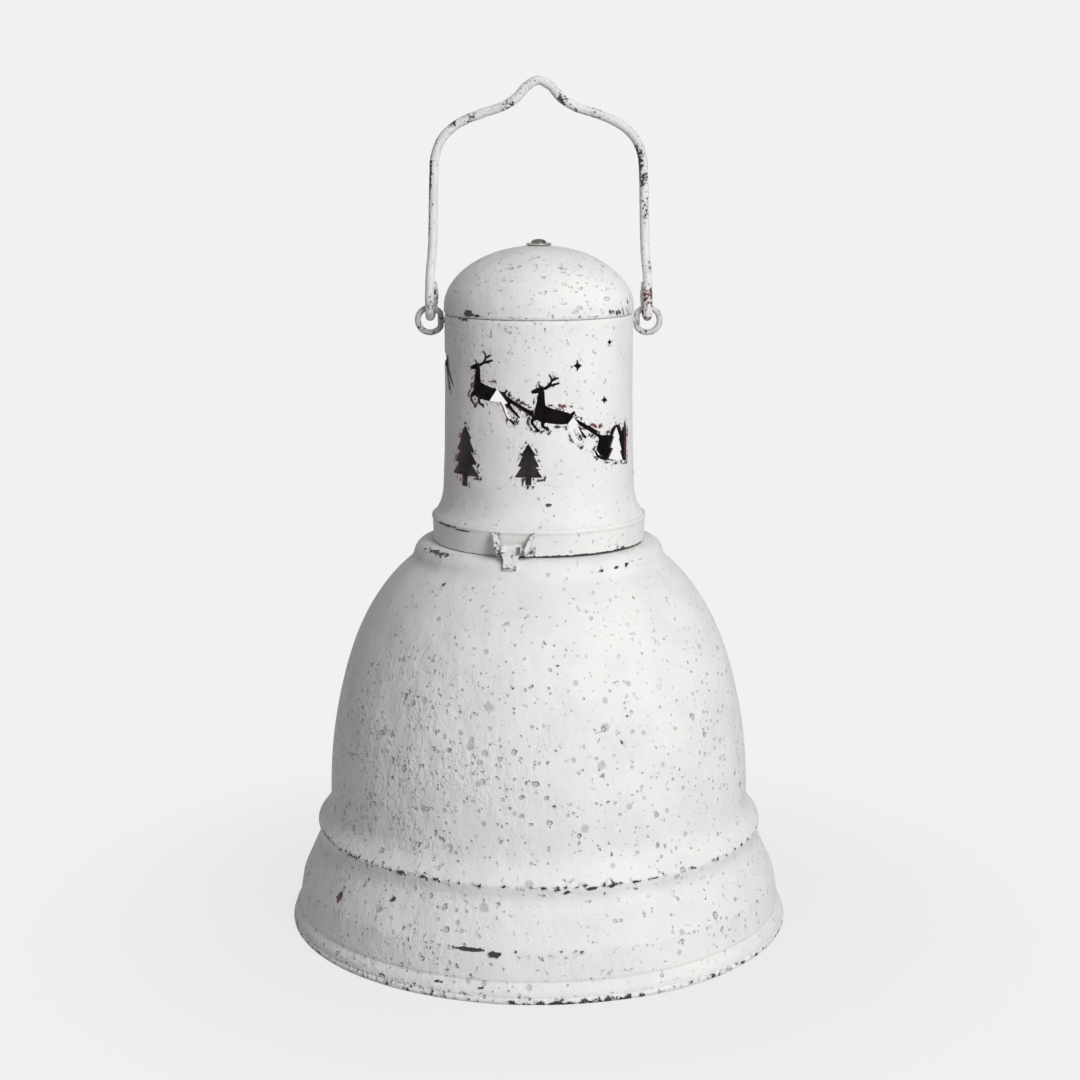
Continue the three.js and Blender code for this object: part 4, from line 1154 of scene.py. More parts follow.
@dataclass
class BellShade:
    """The spun bell with its rolled rim, brim, skirt, ridge and shoulder."""

    sheet: float = 1.0
    rim_radius: float = 100.0
    roll: float = 1.3
    rim_flat: float = 1.0
    brim: Point = (97.1, 7.4)
    skirt: Point = (95.5, 18.7)
    groove: Point = (88.0, 35.6)
    ridge: Point = (89.5, 41.3)
    waist: Point = (84.0, 48.4)
    crease: Point = (49.7, 147.6)
    shoulder: Point = (44.5, 154.5)
    neck_hole: float = 39.1
    side_pull: float = 27.0
    top_pull: float = 36.6
    top_slope: float = 0.75
    spacing: float = 1.5
    segments: int = 320
    wobble: float = 0.22
    # Azimuth and height where the pits are thickest, and how far they reach both ways
    pitted_at: Point = (-40.0, 78.0)
    pitted_reach: Point = (27.0, 40.0)

    def rim_roll(self) -> tuple[Point, float]:
        """Middle of the rolled rim's section, and how far its flat is turned down in degrees."""
        height = math.sqrt(self.roll**2 - (self.rim_flat / 2) ** 2)
        return (self.rim_radius - self.roll, height), math.degrees(math.asin(height / self.roll))

    def outer_line(self) -> list[Point]:
        """Radius and height of the outside, from the floor to the neck."""
        centre, turn = self.rim_roll()
        roll = arc(centre, (self.roll, self.roll), -turn, 62, 10)
        lower = rounded(
            [
                (self.rim_radius - 0.55, 3.1),
                (98.75, 5.2),
                (self.brim[0] - 0.35, self.brim[1]),
                (self.brim[0] + 0.1, self.brim[1] + 1.1),
                self.skirt,
                self.groove,
                self.ridge,
                self.waist,
            ],
            [0, 1.2, 0.7, 1.0, 1.3, 3.0, 1.0, 0],
            7,
        )
        run = self.top_pull * math.sin(math.atan2(1, self.top_slope))
        side = bezier(
            [
                self.waist,
                (self.waist[0], self.waist[1] + self.side_pull),
                (self.crease[0] + run, self.crease[1] - run * self.top_slope),
                self.crease,
            ],
            72,
        )
        bead_radii = (self.crease[0] - self.shoulder[0], self.shoulder[1] - self.crease[1])
        bead = arc((self.shoulder[0], self.crease[1]), bead_radii, 4, 90, 16)
        # The side meets the bead and the skirt in small rounds, over its last and first stretches
        soft = bezier([side[-3], self.crease, bead[3]], 8)
        halfway = tuple(low + (high - low) * 0.5 for low, high in zip(lower[-2], self.waist))
        foot = bezier([halfway, self.waist, side[4]], 8)
        neck = (self.neck_hole, self.shoulder[1])
        line = [*roll, *lower[:-1], *foot, *side[5:-3], *soft, *bead[4:], neck]
        return filled_in(line, self.spacing)

    def inner_line(self, outer: Sequence[Point]) -> list[Point]:
        """The inside of the sheet, from the rolled rim to the neck."""
        centre, turn = self.rim_roll()
        curl = list(reversed(arc(centre, (self.roll, self.roll), -260 + turn, -180 + turn, 8)))
        above = [p for p in outer[::3] if p[1] > 3.4]
        return [*curl, *inset([*above, outer[-1]], self.sheet)]

    def radius_at(self, height: float) -> float:
        """The outer radius at a height above the rolled rim."""
        return radius_on([point for point in self.outer_line() if point[1] > 3], height)

    def pits(self, point: Vector) -> float:
        """How thickly the paint is pitted at a point: most at the left and low on the bell."""
        azimuth, height = self.pitted_at
        around, up = self.pitted_reach
        level = math.exp(-(((point.z - height) / up) ** 2)) if point.z > 45 else 0.5
        side = 0.32 + 0.9 * math.exp(-(((azimuth_of(point) - azimuth) / around) ** 2))
        patch = 0.9 + 1.0 * noise.noise(point / 15)
        return max(0.03, min(1.2, level * side * patch))

    def build(self, finishes: Finishes) -> None:
        """Makes the shade and its paint."""
        outer = self.outer_line()
        inner = self.inner_line(outer)
        piece = turn_round("bell_skin", outer, inner, self.segments, self.wobble)
        marks = [
            WornRing(*self.ridge, 1.4, 0.42),
            WornRing(*self.ridge, 2.2, 0.6, -42, 30),
            WornRing(*self.ridge, 1.3, 0.58, -8, 16),
            WornRing(*self.ridge, 1.9, 0.55, 150, 60),
            WornRing(self.rim_radius, 1.3, 1.8, 0.42),
            WornRing(self.rim_radius, 0.6, 2.0, 0.8, 8, 20),
            WornRing(self.rim_radius, 2.4, 2.6, 0.42, -34, 30),
            WornRing(self.rim_radius, 1.6, 2.4, 0.6, 190, 50),
            WornRing(*self.skirt, 1.2, 0.25),
            WornRing(self.shoulder[0] + 2.6, self.shoulder[1] - 0.9, 2.5, 0.95, -57, 15),
            *(WornPatch(*chip) for chip in BELL_CHIPS),
        ]
        mark(piece, WEAR, turned_rule(marks))
        mark(piece, PITTING, self.pits)
        mark(piece, PRIMER, lambda p: 0.4 if p.x < -60 and p.z < 35 else 0.0)
        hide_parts("bell_shade")
        dress(piece, "bell", "white_paint", finishes.bell_paint, finishes.dark_primer)


@dataclass
class NeckAndTray:
    """The collar soldered into the neck, the tray on its ledge and the rivets."""

    radius: float = 38.8
    wall: float = 0.8
    ledge: float = 5.8
    flange: float = 2.7
    bottom: float = 148.0
    top: float = 165.0
    flange_top: float = 153.2
    rivet_radius: float = 1.2
    rivets: int = 3
    # How far a rivet's shank reaches below and above the tray
    rivet_reach: Point = (-1.4, 1.3)
    tray_height: float = 149.1
    segments: int = 192

    def build(self, finishes: Finishes) -> None:
        """Makes the collar, the rivets and the tray."""
        inner = self.radius - self.wall
        outside = rounded(
            [
                (inner - self.ledge, self.bottom),
                (self.radius, self.bottom),
                (self.radius, self.flange_top - self.wall),
                (self.radius + self.flange, self.flange_top - self.wall),
                (self.radius + self.flange, self.flange_top),
                (self.radius, self.flange_top),
                (self.radius, self.top),
                (inner, self.top),
            ],
            [0, 0.3, 0, 0.3, 0.3, 0, 0.35, 0],
            4,
        )
        floor = self.bottom + self.wall
        inside = [(inner - self.ledge, floor), (inner, floor), (inner, self.top)]
        outside, inside = filled_in(outside, 1.5), filled_in(inside, 2.0)[:-1]
        collar = turn_round("neck_collar_turned", outside, inside, self.segments)
        mark(collar, WEAR, turned_rule([WornRing(self.radius, self.top, 1.4, 0.9)], 0.2))
        mark(collar, PITTING, lambda p: 0.3)
        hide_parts("neck_collar")
        dress(collar, "bell", "worn_paint", finishes.head_paint, finishes.dark_primer)

        head = self.rivet_radius * 1.8
        low, high = self.rivet_reach
        section = [
            (0.0, low - 0.8),
            (head * 0.8, low - 0.8),
            (head, low),
            (self.rivet_radius, low),
            (self.rivet_radius, high),
            (head, high),
            *arc((0.0, high), (head, 0.9), 10, 80, 5),
            (0.0, high + 0.9),
        ]
        one = turn_round("tray_rivet", section, (), 24)
        rivets = rivet_recipe().make(
            "tray_rivets",
            one.data,
            {
                "Count": self.rivets,
                "Ring Radius": (inner - self.ledge / 2) * MM,
                "Height": self.tray_height * MM,
                "First Angle": math.pi / self.rivets,
                "Material": finishes.steel,
            },
        )
        bpy.data.objects.remove(one)
        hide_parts("tray_rivet_1", "tray_rivet_2", "tray_rivet_3")
        dress(rivets, "bell", "steel", finishes.steel)
        ride = ("bell", "worn_paint")
        edged("lamp_tray_edged", "lamp_tray", 0.15, ride, finishes.head_paint, 0.3)


# Lamp in the neck


@dataclass
class LampUnit:
    """The battery lamp: housing, cover, lens, diode, cells, door and switch."""

    floor: float = 150.4
    segments: int = 128
    cover_top: float = 12.0
    lens_foot: float = 11.1
    lens_rim: float = 14.0
    lens_outside: Point = (12.0, 8.0)
    lens_inside: Point = (10.8, 6.8)

    def cover_line(self) -> list[Point]:
        """Section of the cover, a tube with a flange at its top."""
        top = self.cover_top
        corners = [(17.9, 3.1), (19.9, 3.1), (19.9, 10), (23.7, 10), (23.7, top), (14.3, top)]
        corners += [(14.3, 10.8), (10.8, 10.8), (10.8, 10), (17.9, 10)]
        return rounded(corners, [0, 0.3, 0, 0.4, 0.5, 0.3, 0.2, 0.2, 0.2, 0], 4)

    def lens_line(self) -> list[Point]:
        """Section of the domed lens with its rim."""
        top, foot = self.cover_top, self.lens_foot
        outer = arc((0.0, top), self.lens_outside, 0, 88, 22)
        inner = arc((0.0, top), self.lens_inside, 0, 88, 22)
        rim = [(self.lens_inside[0], foot), (self.lens_rim, foot), (self.lens_rim, top)]
        under, over = (0.0, top + self.lens_inside[1]), (0.0, top + self.lens_outside[1])
        return [under, *reversed(inner), *rim, *outer, over]

    def diode_line(self) -> list[Point]:
        """Section of the diode, a round-topped body on a flange."""
        bulb = arc((0.0, 8.1), (2.5, 2.5), 0, 84, 12)
        return [(0.0, 3.1), (2.9, 3.1), (2.9, 4.1), (2.5, 4.1), *bulb, (0.0, 10.6)]

    def cell_line(self, number: int) -> list[Point]:
        """Section of one coin cell, at the height of its CAD node."""
        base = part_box(f"battery_{number}")[0].z / MM - self.floor
        corners = [(0.0, base), (8.5, base), (9.9, base + 0.4), (10.0, base + 0.9)]
        corners += [(10.0, base + 3.2), (0.0, base + 3.2)]
        return rounded(corners, [0, 0.2, 0.2, 0.1, 0.4, 0], 4)

    def turned(
        self,
        name: str,
        node: str,
        outline: Sequence[Point],
        slot: str,
        finish: bpy.types.Material,
    ) -> None:
        """Makes one turned piece of the lamp.

        Args:
            name: Name of the piece.
            node: The CAD node that it stands for.
            outline: Its closed section, heights from the tray's upper face.
            slot: The record's material slot.
            finish: Its material.
        """
        raised = [(r, z + self.floor) for r, z in outline]
        piece = turn_round(name, raised, (), self.segments)
        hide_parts(node)
        dress(piece, "bell", slot, finish)

    def build(self, finishes: Finishes) -> None:
        """Makes the lamp and repaints what stays as it is."""
        black, frosted = "black_plastic", "frosted_plastic"
        plastic, cell = finishes.black_plastic, finishes.cell_metal
        self.turned("lamp_cover_turned", "lamp_cover", self.cover_line(), black, plastic)
        self.turned("lens_dome", "lamp_lens", self.lens_line(), frosted, finishes.lens)
        self.turned("diode_turned", "lamp_diode", self.diode_line(), frosted, finishes.diode)
        for i in (1, 2):
            self.turned(f"coin_cell_{i}", f"battery_{i}", self.cell_line(i), "steel", cell)
        for node, width, body in (
            ("lamp_housing", 0.35, "bell"),
            ("battery_door", 0.3, "door"),
            ("switch_slider", 0.25, "switch"),
        ):
            edged(f"{node}_moulded", node, width, (body, black), plastic)
        repaint("circuit_board", finishes.board)
        repaint("battery_contact", finishes.spring_steel)


# Pierced scene


@dataclass(frozen=True)
class Motif:
    """One figure of the pierced scene: closed outlines, and where they stand on the drum."""

    outlines: tuple[tuple[Point, ...], ...]
    azimuth: float
    height: float


def stroke(points: Sequence[tuple[float, float, float]]) -> tuple[Point, ...]:
    """A tapered stroke with a rounded run through points.

    Args:
        points: Place and half width of each point.

    Returns:
        The stroke's outline.
    """
    line = through([(x, y, half) for x, y, half in points], 4)
    left, right = [], []
    for i, spot in enumerate(line):
        before, after = line[max(i - 1, 0)], line[min(i + 1, len(line) - 1)]
        run = Vector((after.x - before.x, after.y - before.y)).normalized()
        left.append((spot.x - run.y * spot.z, spot.y + run.x * spot.z))
        right.append((spot.x + run.y * spot.z, spot.y - run.x * spot.z))
    return tuple([*left, *reversed(right)])


def blob(points: Sequence[Point]) -> tuple[Point, ...]:
    """A closed smooth outline through points."""
    return tuple((p.x, p.y) for p in through([(x, y, 0.0) for x, y in points], 4, closed=True))


def deer(traced: bool) -> tuple[tuple[Point, ...], ...]:
    """A galloping deer that faces left.

    Args:
        traced: Whether a trace runs from its rump to what it pulls.

    Returns:
        The deer's outlines.
    """
    body = [(-7.4, -0.4), (-5.2, 1), (-1, -0.5), (3.6, -1.8), (6.6, -3.5), (7, -5.8)]
    body += [(3.6, -6.6), (-2.4, -6), (-6.6, -4.8)]
    trace = (stroke([(5.6, -4.2, 1.0), (11.4, -7.4, 0.75), (17.9, -11.4, 1.1)]),) if traced else ()
    return (
        blob(body),
        stroke([(-5.4, -1.6, 2.2), (-5.2, 2.4, 1.5), (-5, 6, 1.15)]),
        stroke([(-4.2, 6.6, 1.2), (-6.6, 6.2, 0.95), (-8.7, 5.6, 0.55)]),
        stroke([(-5.2, 6.8, 0.5), (-6.2, 9, 0.25)]),
        stroke([(-4.6, 6.6, 0.55), (-2, 8, 0.5), (1.8, 9, 0.4)]),
        stroke([(-2.6, 7.6, 0.45), (-1.2, 10, 0.42), (-2.2, 12.4, 0.3)]),
        stroke([(-1.4, 9.8, 0.42), (1.4, 11, 0.3)]),
        stroke([(-6.4, -3.4, 1.2), (-8.6, -5.4, 0.6), (-6, -9.2, 0.45)]),
        stroke([(-4, -4.6, 1.1), (-4.6, -7, 0.6), (-2.2, -8.4, 0.45)]),
        stroke([(5.6, -4.8, 1.7), (6.8, -8.4, 0.9), (7.6, -11.4, 0.6), (10.4, -14.6, 0.4)]),
        stroke([(6, -4.4, 1.6), (8.6, -8.2, 0.85), (12.4, -12.2, 0.4)]),
        stroke([(6.2, -3.6, 0.7), (7.8, -2, 0.3)]),
        *trace,
    )


def sleigh() -> tuple[tuple[Point, ...], ...]:
    """An empty sleigh with a sack and a runner."""
    body = [(-10.2, 4.4), (-8.8, 1.4), (-9.8, -2.2), (-7.8, -5), (-2, -6.2), (5, -7.2)]
    body += [(8.6, -7.6), (9.2, -3), (9.2, 3.4), (7.8, 7), (6.2, 4)]
    body += [(2.4, 2.2), (-4, 2.6), (-7.4, 2.8)]
    sack = [(-2.6, 1.6), (-2.2, 4.4), (0.6, 6), (3.8, 5), (4.8, 1.8)]
    runner = stroke([(-10.6, -2.9, 0.35), (-9, -5.2, 0.5), (-2, -6.7, 0.7), (8.8, -8.2, 0.5)])
    return blob(body), blob(sack), runner


def fir(height: float, tiers: int, share: float = 0.68) -> tuple[tuple[Point, ...], ...]:
    """A fir tree of stacked tiers.

    Args:
        height: Height of the tree.
        tiers: Number of tiers.
        share: Width as a share of the height.

    Returns:
        The tree's outline.
    """
    width, trunk = height * share, height * 0.18
    side = [(width * 0.11, 0.0), (width * 0.11, trunk)]
    for i in range(tiers):
        low = trunk + (height - trunk) * i / tiers
        spread = width / 2 * (1 - i * 0.72 / tiers)
        side.append((spread, low))
        if i < tiers - 1:
            side.append((spread * 0.52, low + (height - trunk) * 0.92 / tiers))
    return (tuple([*side, (0.0, height), *reversed([(-x, y) for x, y in side])]),)


def star(reach: float) -> tuple[tuple[Point, ...], ...]:
    """A four-pointed star."""
    outline = []
    for i in range(8):
        length, angle = reach if i % 2 == 0 else reach * 0.48, i * math.pi / 4
        outline.append((length * math.sin(angle), length * math.cos(angle)))
    return (tuple(outline),)


@dataclass
class PiercedDrum:
    """The head's tube with its flared foot and the scene cut through it."""

    foot: float = 154.8
    sheet: float = 0.9
    foot_radius: float = 41.6
    waist_radius: float = 37.6
    radius: float = 36.7
    neck_radius: float = 35.7
    team: tuple[float, ...] = (-84.0, -31.0, 9.5)
    team_height: float = 75.1
    team_drop: float = 0.2
    tree_foot: float = 24.5
    # Azimuth, height, tiers and rise of each tree, and azimuth, height and reach of each star
    trees: tuple[tuple[float, float, int, float], ...] = (
        (-49.5, 23.4, 4, 0), (-6, 15.7, 3, 2.4), (92, 15, 3, 0), (121, 18, 3, 0),
        (157, 19.4, 4, 0), (208, 31, 4, 0), (263, 20, 3, 0),
    )
    stars: tuple[tuple[float, float, float], ...] = (
        (23.4, 71.7, 1.9), (42.7, 58.1, 1.6), (47, 79.7, 1.4), (92, 66, 1.7),
        (124, 72, 1.8), (152, 61, 1.5), (180, 70, 1.8), (236, 71, 1.6),
    )
    band: float = 10.4
    flare: float = 10.8
    spacing: float = 0.85
    segments: int = 384
    # How far inside the sheet, and how far from facing outwards, a face of a cut lies
    cut_margin: float = 0.12
    cut_slope: float = 0.6

    def outer_line(self) -> list[Point]:
        """Radius and height of the tube's outside, from the foot up."""
        low, flare = self.foot + self.band, self.flare
        waist = (self.waist_radius, low + flare)
        pull = (self.waist_radius + 0.4, low + flare / 3)
        line = [
            *bezier([(self.foot_radius, low), pull, waist], 14),
            ((self.waist_radius + self.radius) / 2 - 0.1, low + flare + 14.4),
            (self.radius, low + flare + 36),
            (self.radius, low + 77.4),
            (self.radius - 0.2, low + 77.9),
            (self.neck_radius, low + 78.4),
            (self.neck_radius, low + 81.4),
        ]
        return filled_in([(self.foot_radius - 0.35, low - 0.5), *line], self.spacing)

    def scene(self) -> list[Motif]:
        """Every motif round the drum."""
        motifs = []
        for i, azimuth in enumerate(self.team):
            drop = self.team_drop * (azimuth - self.team[0])
            motifs.append(Motif(deer(traced=i > 0), azimuth, self.team_height - drop))
        motifs.append(Motif(sleigh(), 52.0, 41.9))
        for azimuth, height, tiers, rise in self.trees:
            motifs.append(Motif(fir(height, tiers), azimuth, self.tree_foot + rise))
        motifs += [Motif(star(reach), azimuth, height) for azimuth, height, reach in self.stars]
        return motifs

    def cutter(self, motifs: Sequence[Motif], number: int) -> bpy.types.Object:
        """Prisms through the wall for one outline of each motif.

        Args:
            motifs: All the motifs.
            number: Which outline of each motif to take.

        Returns:
            The prisms as one object.
        """
        work = bmesh.new()
        for motif in motifs:
            if number >= len(motif.outlines):
                continue
            out, across = at_azimuth(motif.azimuth)
            ends = []
            for reach in (self.radius - 5, self.radius + 5):
                middle = out * reach + Vector((0, 0, self.foot + motif.height))
                ring = [middle + across * x + Vector((0, 0, y)) for x, y in motif.outlines[number]]
                ends.append([work.verts.new(p * MM) for p in ring])
            near, far = ends
            work.faces.new(near)
            work.faces.new(list(reversed(far)))
            for i in range(len(near)):
                k = (i + 1) % len(near)
                work.faces.new((near[k], near[i], far[i], far[k]))
        bmesh.ops.triangulate(work, faces=[f for f in work.faces if len(f.verts) > 4])
        bmesh.ops.recalc_face_normals(work, faces=work.faces)
        mesh = bpy.data.meshes.new(f"scene_cutter_{number}")
        work.to_mesh(mesh)
        work.free()
        return new_piece(mesh.name, mesh)

    def pierce(self, drum: bpy.types.Object) -> None:
        """Cuts the whole scene through the drum, one outline of each motif at a time."""
        motifs = self.scene()
        for number in range(max(len(motif.outlines) for motif in motifs)):
            combine(drum, self.cutter(motifs, number), "DIFFERENCE")

    def sort_faces(self, mesh: bpy.types.Mesh) -> list[Vector]:
        """Gives each face its finish slot and returns the points along the cuts."""
        outer = self.outer_line()
        shallow, deep = self.cut_margin, self.sheet - self.cut_margin
        edge_points: list[Vector] = []
        for polygon in mesh.polygons:
            centre = polygon.center / MM
            depth = radius_on(outer, centre.z) - math.hypot(centre.x, centre.y)
            radial = Vector((centre.x, centre.y, 0)).normalized().dot(polygon.normal)
            within = shallow < depth < deep and centre.z > self.foot + 20
            if abs(radial) < self.cut_slope and within:
                face = Face.CUT
                edge_points += [mesh.vertices[i].co.copy() for i in polygon.vertices]
            else:
                face = Face.OUTSIDE if depth < self.sheet / 2 else Face.INSIDE
            polygon.material_index = face.value
        return edge_points

    def team_line(self, azimuth: float) -> float:
        """Height of the deer team's line at an azimuth."""
        return self.foot + self.team_height - self.team_drop * (azimuth - self.team[0])

    def build(self, finishes: Finishes) -> None:
        """Makes the drum, its scene and its paint."""
        outer = self.outer_line()
        drum = turn_round("pierced_drum", outer, inset(outer, self.sheet), self.segments)
        self.pierce(drum)
        edges = self.sort_faces(drum.data)
        shade(drum.data, 40.0)
        tree = KDTree(len(edges))
        for i, point in enumerate(edges):
            tree.insert(point, i)
        tree.balance()
        bare = [
            WornPatch(-28.1, 220.6, 2.6, 1.2, 0.66),
            WornPatch(14.5, 211.0, 4.6, 1.4, 0.66),
            WornPatch(34.6, 203.0, 7.0, 1.0, 0.66),
        ]
        patches = turned_rule(
            [
                WornPatch(-52, self.foot + self.band + 77.6, 5.0, 1.0, 0.7),
                WornPatch(6.0, self.foot + 19.5, 1.6, 0.9, 0.9),
                *bare,
            ]
        )

        def wear(point: Vector) -> float:
            """Flakes close beside the cuts, a thin line on their edges, and the patches."""
            away, azimuth = tree.find(point * MM)[2], azimuth_of(point)
            antlers = point.z > self.team_line(azimuth) + 1 and -90 < azimuth < 30
            calm = antlers or (point.x > 10 and point.z > 208)
            flaky = 0.0 if calm else max(0.0, 0.68 + 0.9 * noise.noise(point / 3.2))
            beside = max(0.0, 1 - abs(away / MM - 1.0) / 0.65)
            at_edge = 0.42 * max(0.0, 1 - away / (0.9 * MM))
            return max(patches(point), flaky * beside, at_edge)

        def pits(point: Vector) -> float:
            """More pits towards the top and the left."""
            slope = (point.z - 205) / 150 - point.x / 110
            return max(0.0, min(0.5, slope + 0.4 * noise.noise(point / 9)))

        reddish = [WornPatch(b.azimuth, b.height, 8.0, 3.0, 0.9) for b in bare]
        mark(drum, WEAR, wear)
        mark(drum, PRIMER, turned_rule(reddish, 0.1))
        mark(drum, PITTING, pits)
        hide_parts("head_tube")
        coats = (finishes.head_paint, finishes.inner_coat, finishes.cut_edge)
        dress(drum, "head", "white_paint", *coats)


# Head trim


@dataclass
class HeadBand:
    """The band round the drum's foot, with its lip, and the catch at the back."""

    radius: float = 41.9
    lip: float = 0.4
    foot: float = 154.8
    height: float = 10.1
    sheet: float = 0.9
    segments: int = 320
    wobble: float = 0.12

    def build(self, finishes: Finishes) -> None:
        """Makes the band and the catch rivet, and repaints the spring."""
        top = self.foot + self.height
        outer = rounded(
            [
                (self.radius, self.foot),
                (self.radius, top - 1.8),
                (self.radius + self.lip, top - 1.1),
                (self.radius + self.lip, top - 0.4),
                (self.radius - 0.15, top + 0.28),
            ],
            [0, 0.5, 0.4, 0.4, 0],
            5,
        )
        outer = filled_in([(self.radius - 0.25, self.foot), *outer[1:]], 0.8)
        inner = inset(outer, self.sheet)
        band = turn_round("foot_band", outer, inner, self.segments, self.wobble)
        marks = [
            WornRing(self.radius, self.foot, 1.2, 0.3),
            # Painted shadow: this ring of full wear turns the band's foot dark steel towards the
            # right, standing for the shaded gap under the band
            WornRing(self.radius, self.foot, 0.55, 4.0, 30, 40),
            WornRing(self.radius, self.foot + 0.6, 2.4, 0.62, 50, 9),
            WornRing(self.radius + self.lip, top - 1.2, 1.2, 1.1, -62, 12),
            WornPatch(-44.0, top - 1.9, 5.5, 0.45, 1.3),
            WornPatch(-3.0, top - 1.0, 0.8, 0.3, 1.2),
        ]
        mark(band, WEAR, turned_rule(marks))
        mark(band, PITTING, lambda p: 0.03)
        mark(band, PRIMER, lambda p: 0.0)
        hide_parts("head_band")
        dress(band, "head", "white_paint", finishes.head_paint, finishes.dark_primer)
        ride = ("head", "worn_paint")
        edged("catch_rivet_domed", "catch_rivet", 0.3, ride, finishes.head_paint, 0.45, 1)
        repaint("catch_spring", finishes.spring_steel)


@dataclass
class DomeCap:
    """The domed cap with its screw, washer and the strap inside."""

    radius: float = 36.9
    bottom: float = 243.9
    skirt: float = 3.0
    dome: float = 22.8
    sheet: float = 0.9
    hole: float = 2.2
    washer_radius: float = 4.9
    washer: float = 0.8
    screw_radius: float = 1.9
    screw_head: float = 2.9
    dome_end: float = 86.6
    flatness: float = 0.08
    seat: float = 0.05
    segments: int = 320
    small_segments: int = 96
    wobble: float = 0.1

    def skin(self) -> tuple[list[Point], list[Point]]:
        """Outer and inner line of the cap, from the edge of its skirt to the screw's hole."""
        spring = self.bottom + self.skirt
        top = spring + self.dome

        def raised(height: float) -> float:
            """A height on the dome, which is a little flatter than an ellipse at its top."""
            above = height - spring
            return spring + above * (above / self.dome) ** self.flatness if above > 0 else height

        half = arc((0.0, spring), (self.radius, self.dome), 0, self.dome_end, 70)
        lip = [(-0.55, -0.26), (-0.1, 0.1), (0.1, 0.7), (0.08, 1.3), (0.0, 2.0)]
        outer = [(self.radius + across, self.bottom + up) for across, up in lip]
        outer += [*((r, raised(z)) for r, z in half), (self.hole, top)]
        size = (self.radius - self.sheet, self.dome - self.sheet)
        ceiling = arc((0.0, spring), size, 0, self.dome_end, 40)
        inner = [(size[0], self.bottom), *ceiling, (self.hole, top - self.sheet)]
        return filled_in(outer, 1.0), inner

    def build(self, finishes: Finishes) -> None:
        """Makes the cap, screw, washer, strap and nut."""
        cap = turn_round("dome_skin", *self.skin(), self.segments, self.wobble)
        marks = [
            WornRing(self.radius, self.bottom + 0.8, 1.6, 0.2),
            WornPatch(-46.0, self.bottom + 1.3, 3.2, 1.2, 1.7),
            WornPatch(-38.0, self.bottom + 0.9, 2.4, 0.6, 1.2),
            WornRing(self.radius, self.bottom + 1.4, 2.6, 0.6, 55, 18),
            WornPatch(68.0, self.bottom + 5.4, 0.8, 2.0, 1.0),
        ]
        mark(cap, WEAR, turned_rule(marks))
        mark(cap, PITTING, lambda p: max(0.1, min(0.8, 0.4 + 0.8 * noise.noise(p / 11))))
        mark(cap, PRIMER, lambda p: 0.0)
        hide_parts("dome_cap")
        dress(cap, "head", "white_paint", finishes.cap_paint, finishes.inner_coat)

        low = self.bottom + self.skirt + self.dome + self.seat
        high = low + self.washer
        hole, edge = self.hole, self.washer_radius
        corners = [(hole, low), (edge, low), (edge, high), (hole, high)]
        section = rounded(corners, [0, 0.2, 0.35, 0], 4)
        washer = turn_round("cap_washer", section, (), self.small_segments)
        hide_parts("top_washer")
        dress(washer, "head", "dark_steel", finishes.worn_iron)
        end, crown = (corner.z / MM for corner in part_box("top_screw"))
        seat = high + self.seat
        rise = crown - seat
        head = arc((0.0, seat + 0.3), (self.screw_head, rise - 0.3), 0, 84, 12)
        shank = [(0.0, end), (self.screw_radius, end), (self.screw_radius, seat)]
        section = [*shank, (self.screw_head, seat), *head, (0.0, seat + rise)]
        screw = turn_round("cap_screw", section, (), self.small_segments)
        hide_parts("top_screw")
        dress(screw, "head", "dark_steel", finishes.dark_iron)
        ride = ("head", "worn_paint")
        edged("cap_strap_bent", "cap_strap", 0.2, ride, finishes.dark_primer, 0.4)
        edged("cap_nut", "top_nut", 0.25, ("head", "steel"), finishes.steel)


# Middle, reach, amount and stretch upwards of each worn spot of the bail
BAIL_SPOTS = (
    ((-42.2, -0.6, 297), 1.8, 1.3, 8), ((-43.0, -0.8, 279), 1.8, 0.9, 5),
    ((-40, -1, 310), 3, 0.5, 1), ((-33, -1.5, 316.5), 2.6, 0.85, 1),
    ((-27, -1, 318), 5, 0.45, 1), ((-11, -1, 322), 4.5, 0.55, 1),
    ((8.5, -0.5, 323.5), 4, 0.8, 1), ((13, -0.5, 319.5), 3, 0.8, 1),
    ((22, -1, 319), 4, 0.4, 1), ((37, -0.5, 306), 3, 0.9, 1), ((39, -0.5, 302), 2.4, 1.0, 3),
    ((40, -1, 295), 2.6, 0.75, 2), ((41, -1, 284), 2.6, 0.55, 3), ((42.6, -2, 262), 4, 0.45, 1),
    ((42.3, -3, 250), 7, 0.68, 1), ((42.3, 0, 242), 5, 1.0, 1),
    ((-42.3, -2, 247), 6, 0.45, 1), ((-41, 3, 250), 6, 0.62, 1),
)


